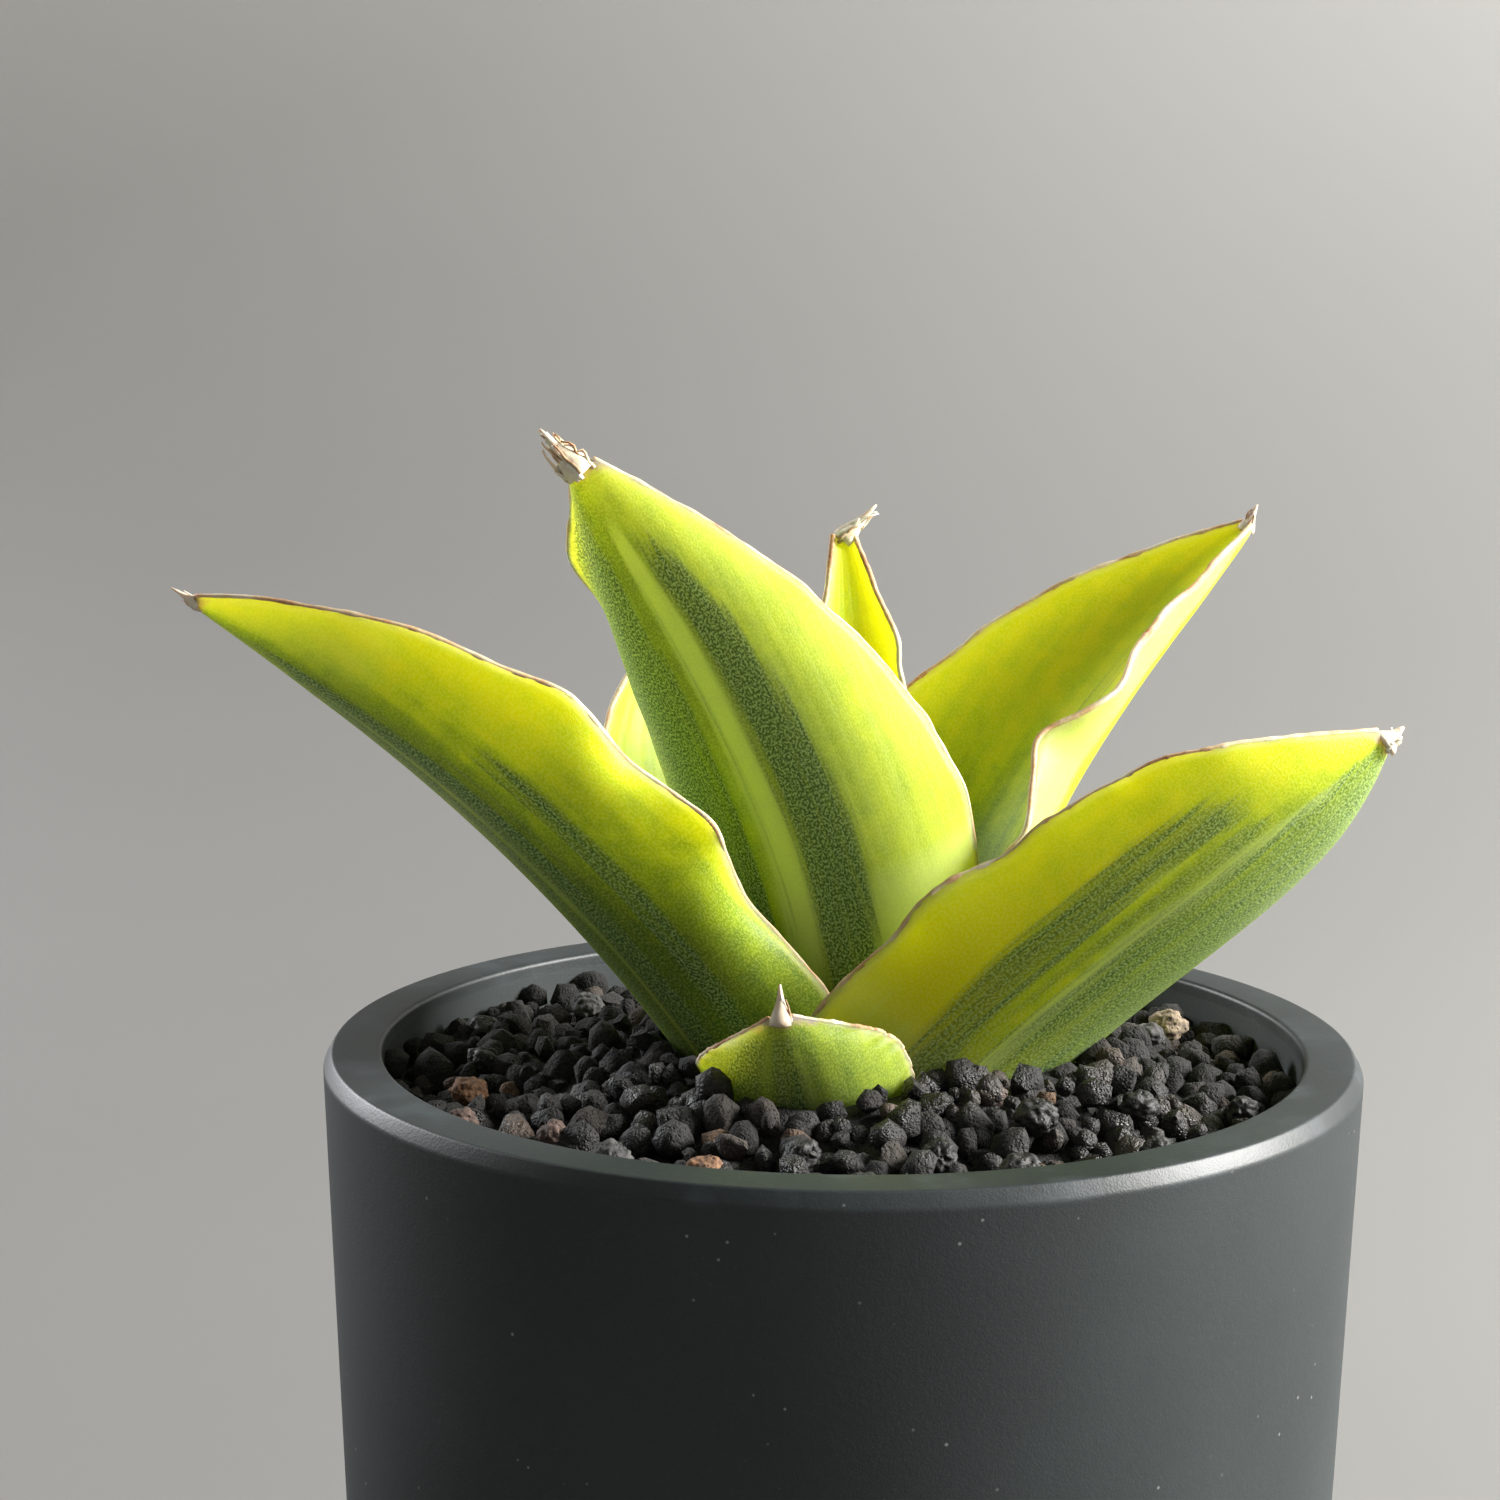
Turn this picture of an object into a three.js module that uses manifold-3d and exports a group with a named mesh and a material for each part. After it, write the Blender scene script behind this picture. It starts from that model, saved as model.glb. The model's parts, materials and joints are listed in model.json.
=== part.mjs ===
import * as THREE from "three";
import { mergeVertices } from "three/addons/utils/BufferGeometryUtils.js";
import Module from "manifold-3d";

// A small variegated snake plant in a round charcoal pot filled with black lava grit.
// Millimetres, +Z up. The origin is the centre of the pot's flat underside.
// The plant is seen from -Y, so "front" is -Y and "right" is +X.

// ---------- Driving dimensions ----------

const POT_RADIUS = 50; // outside, just under the rim's chamfer
const POT_HEIGHT = 90;
const POT_DRAFT = 2; // degrees that the pot's sides lean in towards the foot
const WALL = 5.6; // wall of the pot, square to the axis
const POT_FLOOR = 6; // thickness of the pot's floor
const RIM_CHAMFER = [0.9, 1.4]; // inwards and down, round the outer edge of the rim
const LIP_CHAMFER = 0.3; // round the inner edge of the rim
const FOOT_CHAMFER = 1;
const POT_SIDES = 64;
const FILL_SIDES = 48; // of the layers inside the pot

const DRAIN_HOLES = 4;
const DRAIN_HOLE_RADIUS = 5;
const DRAIN_CIRCLE = 17; // the holes' distance from the centre, which stays solid

const MESH_THICKNESS = 1; // plastic mesh over the drain holes
const MESH_MARGIN = 5; // how far the mesh reaches past the holes
const MESH_OPENING = 4; // side of one square opening
const MESH_PITCH = 8;

const GRAVEL_DEPTH = 13; // coarse drainage layer on the pot's floor
const GRIT_DROP = 5.4; // the grit's level below the rim, along the wall
const MOUND_RISE = 4.6; // how much the grit is heaped up round the plant
const MOUND_RADIUS = 35; // where the heap runs out
const GRIT_BUMP = 0.35; // the grains' roughness on the bed's surface
const GRIT_SHOULDER = 1; // depth of the bed's upright edge at the wall
const GRIT_RINGS = 12; // rings of faces over the bed

const CROWN_X = 3; // middle of the plant
const CROWN_Y = -1;
const CROWN_RADIUS = 19; // the ring that the leaf bases fill
const RHIZOME_RADIUS = 12;
const RHIZOME_HEIGHT = 9;
const RHIZOME_DEPTH = 11; // its centre below the rim
const ROOT_RADIUS = 1.5;
const ROOT_LENGTH = 34; // how far a root reaches down from the rhizome
const ROOT_SPREAD = 13; // how far a root reaches outwards
const ROOT_START = 0.6; // where a root leaves the rhizome, as a share of its radius
const ROOT_BOW = 0.3; // how far a root bows outwards halfway, as a share of its spread
const ROOT_SWAY = 3; // how far a root bows sideways halfway
const ROOTS = 7;

const GAP = 0.3; // clearance between pieces that touch

const LEAF_EDGE = 0.6; // thickness of the horny leaf margin
const LEAF_TAPER = 0.12; // share of the width that a leaf loses steadily from its widest place to its tip
const LEAF_THINNING = 0.45; // share of the thickness that a leaf loses from its base to its tip
const TIP_SHARE = 0.3; // the last share of a leaf, in which it thins to its point
const TIP_THICKNESS = 0.25; // share of the thickness that is left at the point
const EDGE_POWER = 1.8; // how fast a section thins towards its margins
const WAVE_POWER = 6; // how closely the waves keep to the margins
const LEAF_STEPS = 26; // rings along a leaf
const LEAF_FACES = 6; // faces across each side of a leaf
const SPINE_RINGS = [[0.45, 0.6], [1, 0.3]]; // share of the dried point's length, share of its radius

const STONE_SHAPE = [1, 0.88, 0.78]; // a loose stone's length, width and height
const STONE_BUMP = 0.14; // how much a loose stone is pushed in and out
const STONE_REST = 0.8; // height of a loose stone's middle above the grit, as a share of its radius

// ---------- Leaves ----------
// path: four points of a cubic curve up the middle of the leaf, from its base in the grit to its green tip.
//   x and y are measured from the pot's axis and z from the plane of the rim.
// faces: the way that the hollow inner side looks.
// halfWidth: half the leaf's width along its curved section, where it is widest.
// baseWidth: that half width at the base. widest: where it is widest, from 0 at the base to 1 at the tip.
// fullness: how long the leaf stays wide before it runs out to its tip.
// curl: half angle of the section's arc, in degrees, at the base, the middle and the tip.
// thickness: along the middle, near the base.
// spine: the dried point beyond the green tip, as a vector, and its radius where it starts.
// waves: bumps of the margins, as [side, where along the leaf, length, outwards, towards the hollow].

const LEAVES = {
  leaf_spear: {
    path: [[2, 3, -9], [2, 4, 8], [2, 6, 18], [4, 8, 31.5]],
    faces: [-0.4, -1, 0.2],
    halfWidth: 5, baseWidth: 4, widest: 0.3, fullness: 2,
    curl: [80, 85, 60], thickness: 2.2,
    spine: [0.7, 0, 3.6], spineRadius: 0.5,
    waves: [],
  },
  leaf_back: {
    path: [[3, 8, -9], [0, 13, 14], [2.4, 13, 31], [0, 15, 47.8]],
    faces: [0.2, -1, 0.2],
    halfWidth: 9.2, baseWidth: 9, widest: 0.34, fullness: 1.5,
    curl: [75, 70, 60], thickness: 2.8,
    spine: [3.6, 0, 3], spineRadius: 1.2,
    waves: [[1, 0.8, 0.05, 0.5, 0.4]],
  },
  leaf_back_left: {
    path: [[-3, 6, -9], [-14, 12, 10], [-21, 19, 22], [-16, 26, 37]],
    faces: [0.5, -0.8, 0.4],
    halfWidth: 15, baseWidth: 10, widest: 0.45, fullness: 2,
    curl: [75, 60, 50], thickness: 3,
    spine: [0, 1, 2.5], spineRadius: 0.8,
    waves: [],
  },
  leaf_front: {
    path: [[-1, -2, -9], [-1, -8, 18], [-13, -11, 36], [-24.5, -15, 56]],
    faces: [0.5, 1, 0.3],
    halfWidth: 18.6, baseWidth: 12, widest: 0.38, fullness: 1.85,
    curl: [78, 62, 55], thickness: 3.6,
    spine: [-3.5, -0.5, 3.5], spineRadius: 1.6,
    waves: [[-1, 0.42, 0.07, 0.5, -0.4], [1, 0.88, 0.06, 2.8, 0.5]],
  },
  leaf_back_right: {
    path: [[9, 4, -9], [9.5, 9, 16.5], [26.5, 17, 33.5], [41.8, 21, 48.2]],
    faces: [-0.85, -0.5, 0.5],
    halfWidth: 20, baseWidth: 14, widest: 0.37, fullness: 1.7,
    curl: [75, 70, 68], thickness: 3.4,
    spine: [0.8, 0, 2.4], spineRadius: 1,
    waves: [[1, 0.5, 0.045, -1.8, 1.2], [1, 0.62, 0.05, 1.6, -0.6], [1, 0.38, 0.045, 1.2, -1]],
  },
  leaf_left: {
    path: [[-7, -4, -9], [-18, -11, 12], [-36, -14, 31], [-60, -10, 43.2]],
    faces: [0.45, 0.6, 0.8],
    halfWidth: 16, baseWidth: 11.5, widest: 0.52, fullness: 2,
    curl: [75, 60, 45], thickness: 3.4,
    spine: [-2.2, 0, 1.4], spineRadius: 0.7,
    waves: [
      [-1, 0.41, 0.03, 2, -0.5], [-1, 0.51, 0.05, -2.2, 0],
      [-1, 0.61, 0.035, 1.2, 0], [-1, 0.29, 0.07, -2.8, 0],
    ],
  },
  leaf_right: {
    path: [[9, -8, -9], [22, -10, 8.5], [39, -15, 16.8], [49.3, -12, 31.4]],
    faces: [-0.4, 0.7, 0.6],
    halfWidth: 18.4, baseWidth: 18, widest: 0.48, fullness: 2.5,
    curl: [68, 66, 45], thickness: 3.6,
    spine: [1.6, 0, 1.2], spineRadius: 1.5,
    waves: [[1, 0.28, 0.07, 2.6, 0], [1, 0.1, 0.1, 2, 0], [1, 0.6, 0.1, -0.8, 0]],
  },
  leaf_scale: {
    path: [[-3, -15, -9], [-3.5, -20, -3], [-5.5, -23, 2.5], [-6.2, -22, 7.4]],
    faces: [0.1, 0.9, 0.35],
    halfWidth: 11.6, baseWidth: 12.5, widest: 0.3, fullness: 3,
    curl: [62, 60, 50], thickness: 2,
    spine: [0, 0, 3.2], spineRadius: 1.1,
    waves: [[1, 0.7, 0.2, 0.8, 0]],
  },
};

// The leaves from the youngest, in the middle, to the oldest, which wraps round the others.
const LEAF_ORDER = [
  "leaf_spear",
  "leaf_back",
  "leaf_back_left",
  "leaf_front",
  "leaf_back_right",
  "leaf_left",
  "leaf_right",
  "leaf_scale",
];

// ---------- Loose stones on the grit ----------
// Each is [name, bearing in degrees from +X towards +Y, place between the plant and the wall from 0 to 1,
// radius, kind].

const STONES = [
  ["stone_rust_left", 196, 0.78, 2.2, "rust"],
  ["stone_brown_left", 208, 0.9, 2.0, "brown"],
  ["stone_brown_front_left", 222, 0.72, 2.1, "brown"],
  ["stone_cream", 232, 0.93, 1.6, "cream"],
  ["stone_grey_front_left", 237, 0.84, 2.4, "grey"],
  ["stone_rust_front", 251, 0.86, 2.6, "rust"],
  ["stone_black_front_1", 262, 0.55, 2.1, "black"],
  ["stone_black_front_2", 272, 0.92, 2.4, "black"],
  ["stone_black_front_3", 283, 0.6, 2.2, "black"],
  ["stone_black_front_4", 292, 0.86, 2.6, "black"],
  ["stone_black_front_5", 303, 0.5, 2.5, "black"],
  ["stone_black_front_6", 313, 0.9, 2.3, "black"],
  ["stone_black_right_1", 325, 0.6, 2.4, "black"],
  ["stone_black_right_2", 338, 0.9, 2.2, "black"],
  ["stone_grey_right", 12, 0.55, 2.2, "grey"],
  ["stone_tan_right", 24, 0.82, 2.6, "tan"],
  ["stone_tan_back_right", 38, 0.6, 2.2, "tan"],
  ["stone_brown_back", 72, 0.75, 2.3, "brown"],
  ["stone_black_back", 105, 0.8, 2.4, "black"],
  ["stone_grey_back_left", 138, 0.7, 2.2, "grey"],
  ["stone_black_left_1", 160, 0.85, 2.3, "black"],
  ["stone_black_left_2", 178, 0.7, 2.1, "black"],
];

// ---------- Materials ----------

function finish(color, roughness) {
  return new THREE.MeshStandardMaterial({ color, roughness, metalness: 0 });
}

const potFinish = finish(0x2d3033, 0.75);
const meshFinish = finish(0x16181a, 0.6);
const pumiceFinish = finish(0xb9b2a4, 0.95);
const gritFinish = finish(0x1d1d1f, 0.9);
const rootFinish = finish(0xc98a4b, 0.7);
const leafFinish = finish(0x9bb83a, 0.45);
const stoneFinish = {
  black: finish(0x222224, 0.7),
  grey: finish(0x4a4a4c, 0.9),
  brown: finish(0x5c443c, 0.9),
  rust: finish(0x8a5232, 0.9),
  tan: finish(0xa08a72, 0.9),
  cream: finish(0xd8c39a, 0.85),
};

// ---------- Solids ----------

const wasm = await Module();
wasm.setup();

// A closed geometry as a solid that can be joined and cut.
function solidOf(geometry) {
  const plain = geometry.clone();
  plain.deleteAttribute("normal");
  plain.deleteAttribute("uv");
  const merged = mergeVertices(plain, 1e-4);
  const vertProperties = merged.attributes.position.array;
  const triVerts = new Uint32Array(merged.index.array);
  const solid = new wasm.Manifold(new wasm.Mesh({ numProp: 3, vertProperties, triVerts }));
  if (solid.volume() > 0) return solid;
  // A shape swept along a path can come out with its faces inwards: each is turned round.
  return new wasm.Manifold(new wasm.Mesh({ numProp: 3, vertProperties, triVerts: triVerts.reverse() }));
}

// A solid as a geometry with flat faces.
function geometryOf(solid) {
  const mesh = solid.getMesh();
  const geometry = new THREE.BufferGeometry();
  geometry.setAttribute("position", new THREE.BufferAttribute(mesh.vertProperties, 3));
  geometry.setIndex(new THREE.BufferAttribute(mesh.triVerts, 1));
  const flat = geometry.toNonIndexed();
  flat.computeVertexNormals();
  return flat;
}

// The biggest of the bodies that a cut leaves.
function biggestBody(solid) {
  const bodies = solid.decompose();
  bodies.sort((a, b) => b.volume() - a.volume());
  return bodies[0];
}

// A solid turned about the Z axis from a closed outline of [radius, height] points.
function turned(outline, sides) {
  const points = outline.map(([radius, height]) => new THREE.Vector2(radius, height));
  const lathe = new THREE.LatheGeometry(points, sides);
  lathe.rotateX(Math.PI / 2);
  return solidOf(lathe);
}

const root = new THREE.Group();

function addNode(name, solid, material) {
  const mesh = new THREE.Mesh(geometryOf(solid), material);
  mesh.name = name;
  root.add(mesh);
}

// ---------- Pot ----------

const draft = Math.tan(THREE.MathUtils.degToRad(POT_DRAFT));
const drainAngles = Array.from(
  { length: DRAIN_HOLES },
  (_, i) => ((i + 0.5) / DRAIN_HOLES) * 2 * Math.PI,
);

function outerRadius(z) {
  return POT_RADIUS - (POT_HEIGHT - z) * draft;
}

function innerRadius(z) {
  return outerRadius(z) - WALL;
}

function makePot() {
  const [chamferIn, chamferDown] = RIM_CHAMFER;
  let pot = turned(
    [
      [0, 0],
      [outerRadius(0) - FOOT_CHAMFER, 0],
      [outerRadius(FOOT_CHAMFER), FOOT_CHAMFER],
      [outerRadius(POT_HEIGHT - chamferDown), POT_HEIGHT - chamferDown],
      [POT_RADIUS - chamferIn, POT_HEIGHT],
      [innerRadius(POT_HEIGHT) + LIP_CHAMFER, POT_HEIGHT],
      [innerRadius(POT_HEIGHT - LIP_CHAMFER), POT_HEIGHT - LIP_CHAMFER],
      [innerRadius(POT_FLOOR), POT_FLOOR],
      [0, POT_FLOOR],
    ],
    POT_SIDES,
  );
  for (const angle of drainAngles) {
    const hole = new THREE.CylinderGeometry(DRAIN_HOLE_RADIUS, DRAIN_HOLE_RADIUS, 3 * POT_FLOOR, 20);
    hole.rotateX(Math.PI / 2);
    hole.translate(DRAIN_CIRCLE * Math.cos(angle), DRAIN_CIRCLE * Math.sin(angle), POT_FLOOR / 2);
    pot = pot.subtract(solidOf(hole));
  }
  return pot;
}

// ---------- Drainage mesh ----------

const meshBase = POT_FLOOR + GAP;
const meshTop = meshBase + MESH_THICKNESS;
const meshRadius = DRAIN_CIRCLE + DRAIN_HOLE_RADIUS + MESH_MARGIN;

function makeDrainageMesh() {
  const outline = [[0, meshBase], [meshRadius, meshBase], [meshRadius, meshTop], [0, meshTop]];
  let disc = turned(outline, FILL_SIDES);
  const reach = meshRadius - MESH_OPENING;
  const openings = Math.floor(reach / MESH_PITCH);
  for (let i = -openings; i <= openings; i++) {
    for (let j = -openings; j <= openings; j++) {
      if (Math.hypot(i, j) * MESH_PITCH > reach) continue;
      const opening = new THREE.BoxGeometry(MESH_OPENING, MESH_OPENING, 3 * MESH_THICKNESS);
      opening.translate(i * MESH_PITCH, j * MESH_PITCH, meshBase + MESH_THICKNESS / 2);
      disc = disc.subtract(solidOf(opening));
    }
  }
  return disc;
}

// ---------- Drainage gravel and grit ----------

const gravelTop = POT_FLOOR + GRAVEL_DEPTH;
const gritLevel = POT_HEIGHT - GRIT_DROP;

// A tall-sided disc that fills the pot between two heights, leaving the gap to the wall.
function fillOutline(bottom, top) {
  return [
    [0, bottom],
    [innerRadius(bottom) - GAP, bottom],
    [innerRadius(top) - GAP, top],
    [0, top],
  ];
}

// The gravel lies on the floor and over the mesh, so a pocket is left for the mesh.
function makeGravel() {
  const gravel = turned(fillOutline(POT_FLOOR + GAP, gravelTop), FILL_SIDES);
  const [pocketRadius, pocketTop] = [meshRadius + GAP, meshTop + GAP];
  const outline = [[0, 0], [pocketRadius, 0], [pocketRadius, pocketTop], [0, pocketTop]];
  return gravel.subtract(turned(outline, FILL_SIDES));
}

function smoothStep(t) {
  const held = THREE.MathUtils.clamp(t, 0, 1);
  return held * held * (3 - 2 * held);
}

// Height of the bed of grit, heaped up round the plant.
function bedHeight(x, y) {
  const out = Math.hypot(x - CROWN_X, y - CROWN_Y);
  return gritLevel + MOUND_RISE * smoothStep((MOUND_RADIUS - out) / (MOUND_RADIUS - CROWN_RADIUS));
}

// The bed's roughness: two crossed waves.
function bump(x, y) {
  return GRIT_BUMP * Math.sin(1.9 * x + 0.7 * y) * Math.sin(1.7 * y - 0.5 * x);
}

// The bed of grit is one solid: a bottom, a wall and a rough top, in rings round the axis.
function makeBed() {
  const bottom = gravelTop + GAP;
  const positions = [0, 0, bottom];
  const faces = [];
  const bottomRadius = innerRadius(bottom) - GAP;
  const topRadius = innerRadius(gritLevel) - GAP;
  const addRing = (radius, heightAt) => {
    for (let i = 0; i < FILL_SIDES; i++) {
      const angle = (i / FILL_SIDES) * 2 * Math.PI;
      const x = radius * Math.cos(angle);
      const y = radius * Math.sin(angle);
      positions.push(x, y, heightAt(x, y));
    }
  };
  addRing(bottomRadius, () => bottom);
  addRing(topRadius, () => gritLevel - GRIT_SHOULDER);
  for (let ring = 0; ring < GRIT_RINGS; ring++) {
    const radius = topRadius * (1 - ring / GRIT_RINGS);
    addRing(radius, (x, y) => bedHeight(x, y) + bump(x, y));
  }
  positions.push(0, 0, bedHeight(0, 0) + bump(0, 0));
  const apex = positions.length / 3 - 1;
  const ringStart = (ring) => 1 + ring * FILL_SIDES;
  for (let i = 0; i < FILL_SIDES; i++) {
    const next = (i + 1) % FILL_SIDES;
    faces.push(0, ringStart(0) + next, ringStart(0) + i);
    for (let ring = 0; ring < GRIT_RINGS + 1; ring++) {
      const low = ringStart(ring);
      const high = ringStart(ring + 1);
      faces.push(low + i, low + next, high + next);
      faces.push(low + i, high + next, high + i);
    }
    faces.push(ringStart(GRIT_RINGS + 1) + i, ringStart(GRIT_RINGS + 1) + next, apex);
  }
  return closedSolid(positions, faces);
}

function closedSolid(positions, faces) {
  const geometry = new THREE.BufferGeometry();
  geometry.setAttribute("position", new THREE.Float32BufferAttribute(positions, 3));
  geometry.setIndex(faces);
  return solidOf(geometry);
}

// ---------- Leaf shape ----------

// A value that runs smoothly through three stations: the base, the middle and the tip.
function along([base, middle, tip], share) {
  if (share < 0.5) return THREE.MathUtils.lerp(base, middle, smoothStep(2 * share));
  return THREE.MathUtils.lerp(middle, tip, smoothStep(2 * share - 1));
}

// Half the leaf's width along its section: it swells to the widest place and runs out to a point.
function halfWidthAt(leaf, share) {
  if (share < leaf.widest) {
    const rise = Math.sin((share / leaf.widest) * (Math.PI / 2));
    return leaf.baseWidth + (leaf.halfWidth - leaf.baseWidth) * rise;
  }
  const rest = (share - leaf.widest) / (1 - leaf.widest);
  const full = 1 - rest ** leaf.fullness;
  return leaf.halfWidth * full * (1 - LEAF_TAPER * rest) + leaf.spineRadius * rest;
}

function thicknessAt(leaf, share) {
  const toTip = Math.min(1, Math.sqrt((1 - share) / TIP_SHARE) + TIP_THICKNESS);
  return leaf.thickness * (1 - LEAF_THINNING * share) * toTip;
}

// The points round a section of a leaf: along its inner side, then back along its outer side.
// Each is [across, face]: across runs from -1 to 1, and face is 1 on the inner side and -1 on the outer.
const SECTION = Array.from({ length: 2 * LEAF_FACES + 2 }, (_, i) => {
  const outer = i > LEAF_FACES;
  const place = outer ? 2 * LEAF_FACES + 1 - i : i;
  return [(2 * place) / LEAF_FACES - 1, outer ? -1 : 1];
});

// One leaf as a loft of crescent sections along its path, ending in its dried point.
// swell is added all round, to make the room that a neighbour leaves for it.
function makeLeaf(leaf, swell) {
  const curve = new THREE.CubicBezierCurve3(
    ...leaf.path.map(([x, y, z]) => new THREE.Vector3(x, y, POT_HEIGHT + z)),
  );
  const facing = new THREE.Vector3(...leaf.faces);
  const positions = [];
  const rings = [];
  const addRing = (middle, side, open, section) => {
    rings.push(positions.length / 3);
    for (const [x, y] of section) {
      const point = middle.clone().addScaledVector(side, x).addScaledVector(open, y);
      positions.push(point.x, point.y, point.z);
    }
  };
  const frameAt = (share) => {
    const tangent = curve.getTangent(share);
    const open = facing.clone().addScaledVector(tangent, -facing.dot(tangent)).normalize();
    const side = new THREE.Vector3().crossVectors(tangent, open);
    return { point: curve.getPoint(share), tangent, open, side };
  };
  for (let step = 0; step <= LEAF_STEPS; step++) {
    const share = step / LEAF_STEPS;
    const { point, tangent, open, side } = frameAt(share);
    if (step === 0) point.addScaledVector(tangent, -swell);
    const curl = THREE.MathUtils.degToRad(along(leaf.curl, share));
    const radius = halfWidthAt(leaf, share) / curl;
    const thickness = thicknessAt(leaf, share);
    const section = SECTION.map(([across, face]) => {
      const turn = across * (curl + swell / radius);
      const edge = 1 - Math.abs(across) ** EDGE_POWER;
      const level = face * ((LEAF_EDGE + (thickness - LEAF_EDGE) * edge) / 2 + swell);
      let x = (radius - level) * Math.sin(turn);
      let y = radius - (radius - level) * Math.cos(turn);
      for (const [waveSide, where, length, outwards, inwards] of leaf.waves) {
        const near = Math.exp(-(((share - where) / length) ** 2)) * Math.max(0, waveSide * across) ** WAVE_POWER;
        x += waveSide * outwards * near;
        y += inwards * near;
      }
      return [x, y];
    });
    addRing(point, side, open, section);
  }
  const { point: tip, open, side } = frameAt(1);
  for (const [share, size] of SPINE_RINGS) {
    const middle = tip.clone().addScaledVector(new THREE.Vector3(...leaf.spine), share);
    const radius = leaf.spineRadius * size + swell;
    const flat = 0.25; // share of the radius that is left at the section's ends
    const section = SECTION.map(([across, face]) => {
      const round = flat + (1 - flat) * Math.sqrt(1 - across * across);
      return [across * radius, face * radius * round];
    });
    addRing(middle, side, open, section);
  }
  const faces = [];
  const count = SECTION.length;
  for (let ring = 0; ring + 1 < rings.length; ring++) {
    const [low, high] = [rings[ring], rings[ring + 1]];
    for (let i = 0; i < count; i++) {
      const next = (i + 1) % count;
      faces.push(low + i, low + next, high + next);
      faces.push(low + i, high + next, high + i);
    }
  }
  // Each end is closed across the crescent, from the inner side to the outer side.
  for (const [start, flip] of [[rings[0], false], [rings.at(-1), true]]) {
    for (let i = 0; i < LEAF_FACES; i++) {
      const [a, b, c, d] = [start + i, start + i + 1, start + count - 2 - i, start + count - 1 - i];
      faces.push(...(flip ? [a, b, c, a, c, d] : [a, c, b, a, d, c]));
    }
  }
  return closedSolid(positions, faces);
}

// ---------- Rhizome and roots ----------

// A flattened ball under the leaves, with thick roots that run out and down into the grit.
function makeRhizome(swell) {
  const ball = new THREE.SphereGeometry(1, 16, 8);
  ball.scale(RHIZOME_RADIUS + swell, RHIZOME_RADIUS + swell, RHIZOME_HEIGHT / 2 + swell);
  const centre = new THREE.Vector3(CROWN_X, CROWN_Y, POT_HEIGHT - RHIZOME_DEPTH);
  ball.translate(...centre);
  let rhizome = solidOf(ball);
  for (let i = 0; i < ROOTS; i++) {
    const angle = (i / ROOTS) * 2 * Math.PI;
    const out = new THREE.Vector3(Math.cos(angle), Math.sin(angle), 0);
    const sideways = new THREE.Vector3(-out.y, out.x, 0);
    const start = centre.clone().addScaledVector(out, RHIZOME_RADIUS * ROOT_START);
    const end = start.clone().addScaledVector(out, ROOT_SPREAD);
    end.z -= ROOT_LENGTH + swell;
    const middle = start.clone().lerp(end, 0.5).addScaledVector(out, ROOT_SPREAD * ROOT_BOW);
    middle.addScaledVector(sideways, i % 2 ? ROOT_SWAY : -ROOT_SWAY);
    const path = new THREE.CatmullRomCurve3([start, middle, end]);
    const section = new THREE.Shape();
    section.absarc(0, 0, ROOT_RADIUS + swell, 0, 2 * Math.PI);
    const root = new THREE.ExtrudeGeometry(section, { steps: 5, curveSegments: 4, extrudePath: path });
    rhizome = rhizome.add(solidOf(root));
  }
  return rhizome;
}

// ---------- Loose stones ----------

// An angular lump: a ball of a few flat faces, pushed in and out by a fixed pattern.
function makeStone(index, bearing, share, radius) {
  const stone = new THREE.IcosahedronGeometry(radius, 1);
  const position = stone.attributes.position;
  const shape = new THREE.Vector3(...STONE_SHAPE);
  const lump = new THREE.Vector3();
  for (let i = 0; i < position.count; i++) {
    lump.fromBufferAttribute(position, i).divideScalar(radius);
    const wave = Math.sin(3.1 * lump.x + index) * Math.sin(2.7 * lump.y + 2 * index) * Math.cos(2.3 * lump.z);
    lump.multiplyScalar(radius * (1 - STONE_BUMP + STONE_BUMP * wave)).multiply(shape);
    position.setXYZ(i, lump.x, lump.y, lump.z);
  }
  const angle = THREE.MathUtils.degToRad(bearing);
  const furthest = innerRadius(gritLevel) - GAP - radius;
  const out = THREE.MathUtils.lerp(CROWN_RADIUS, furthest, share);
  const x = out * Math.cos(angle);
  const y = out * Math.sin(angle);
  stone.rotateZ(index);
  stone.translate(x, y, bedHeight(x, y) + GRIT_BUMP + GAP + radius * STONE_REST);
  return solidOf(stone);
}

// ---------- The whole plant in its pot ----------

addNode("pot", makePot(), potFinish);
addNode("drainage_mesh", makeDrainageMesh(), meshFinish);
addNode("drainage_gravel", makeGravel(), pumiceFinish);

let taken = null; // the room that the leaves made so far need, with clearance
for (const name of LEAF_ORDER) {
  const whole = makeLeaf(LEAVES[name], 0);
  addNode(name, taken ? biggestBody(whole.subtract(taken)) : whole, leafFinish);
  const room = makeLeaf(LEAVES[name], GAP);
  taken = taken ? taken.add(room) : room;
}

const rhizome = biggestBody(makeRhizome(0).subtract(taken));
addNode("rhizome_and_roots", rhizome, rootFinish);

const plantRoom = makeRhizome(GAP).add(taken);
addNode("grit", biggestBody(makeBed().subtract(plantRoom)), gritFinish);

STONES.forEach(([name, bearing, share, radius, kind], index) => {
  addNode(name, makeStone(index, bearing, share, radius), stoneFinish[kind]);
});

export default root;
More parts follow.
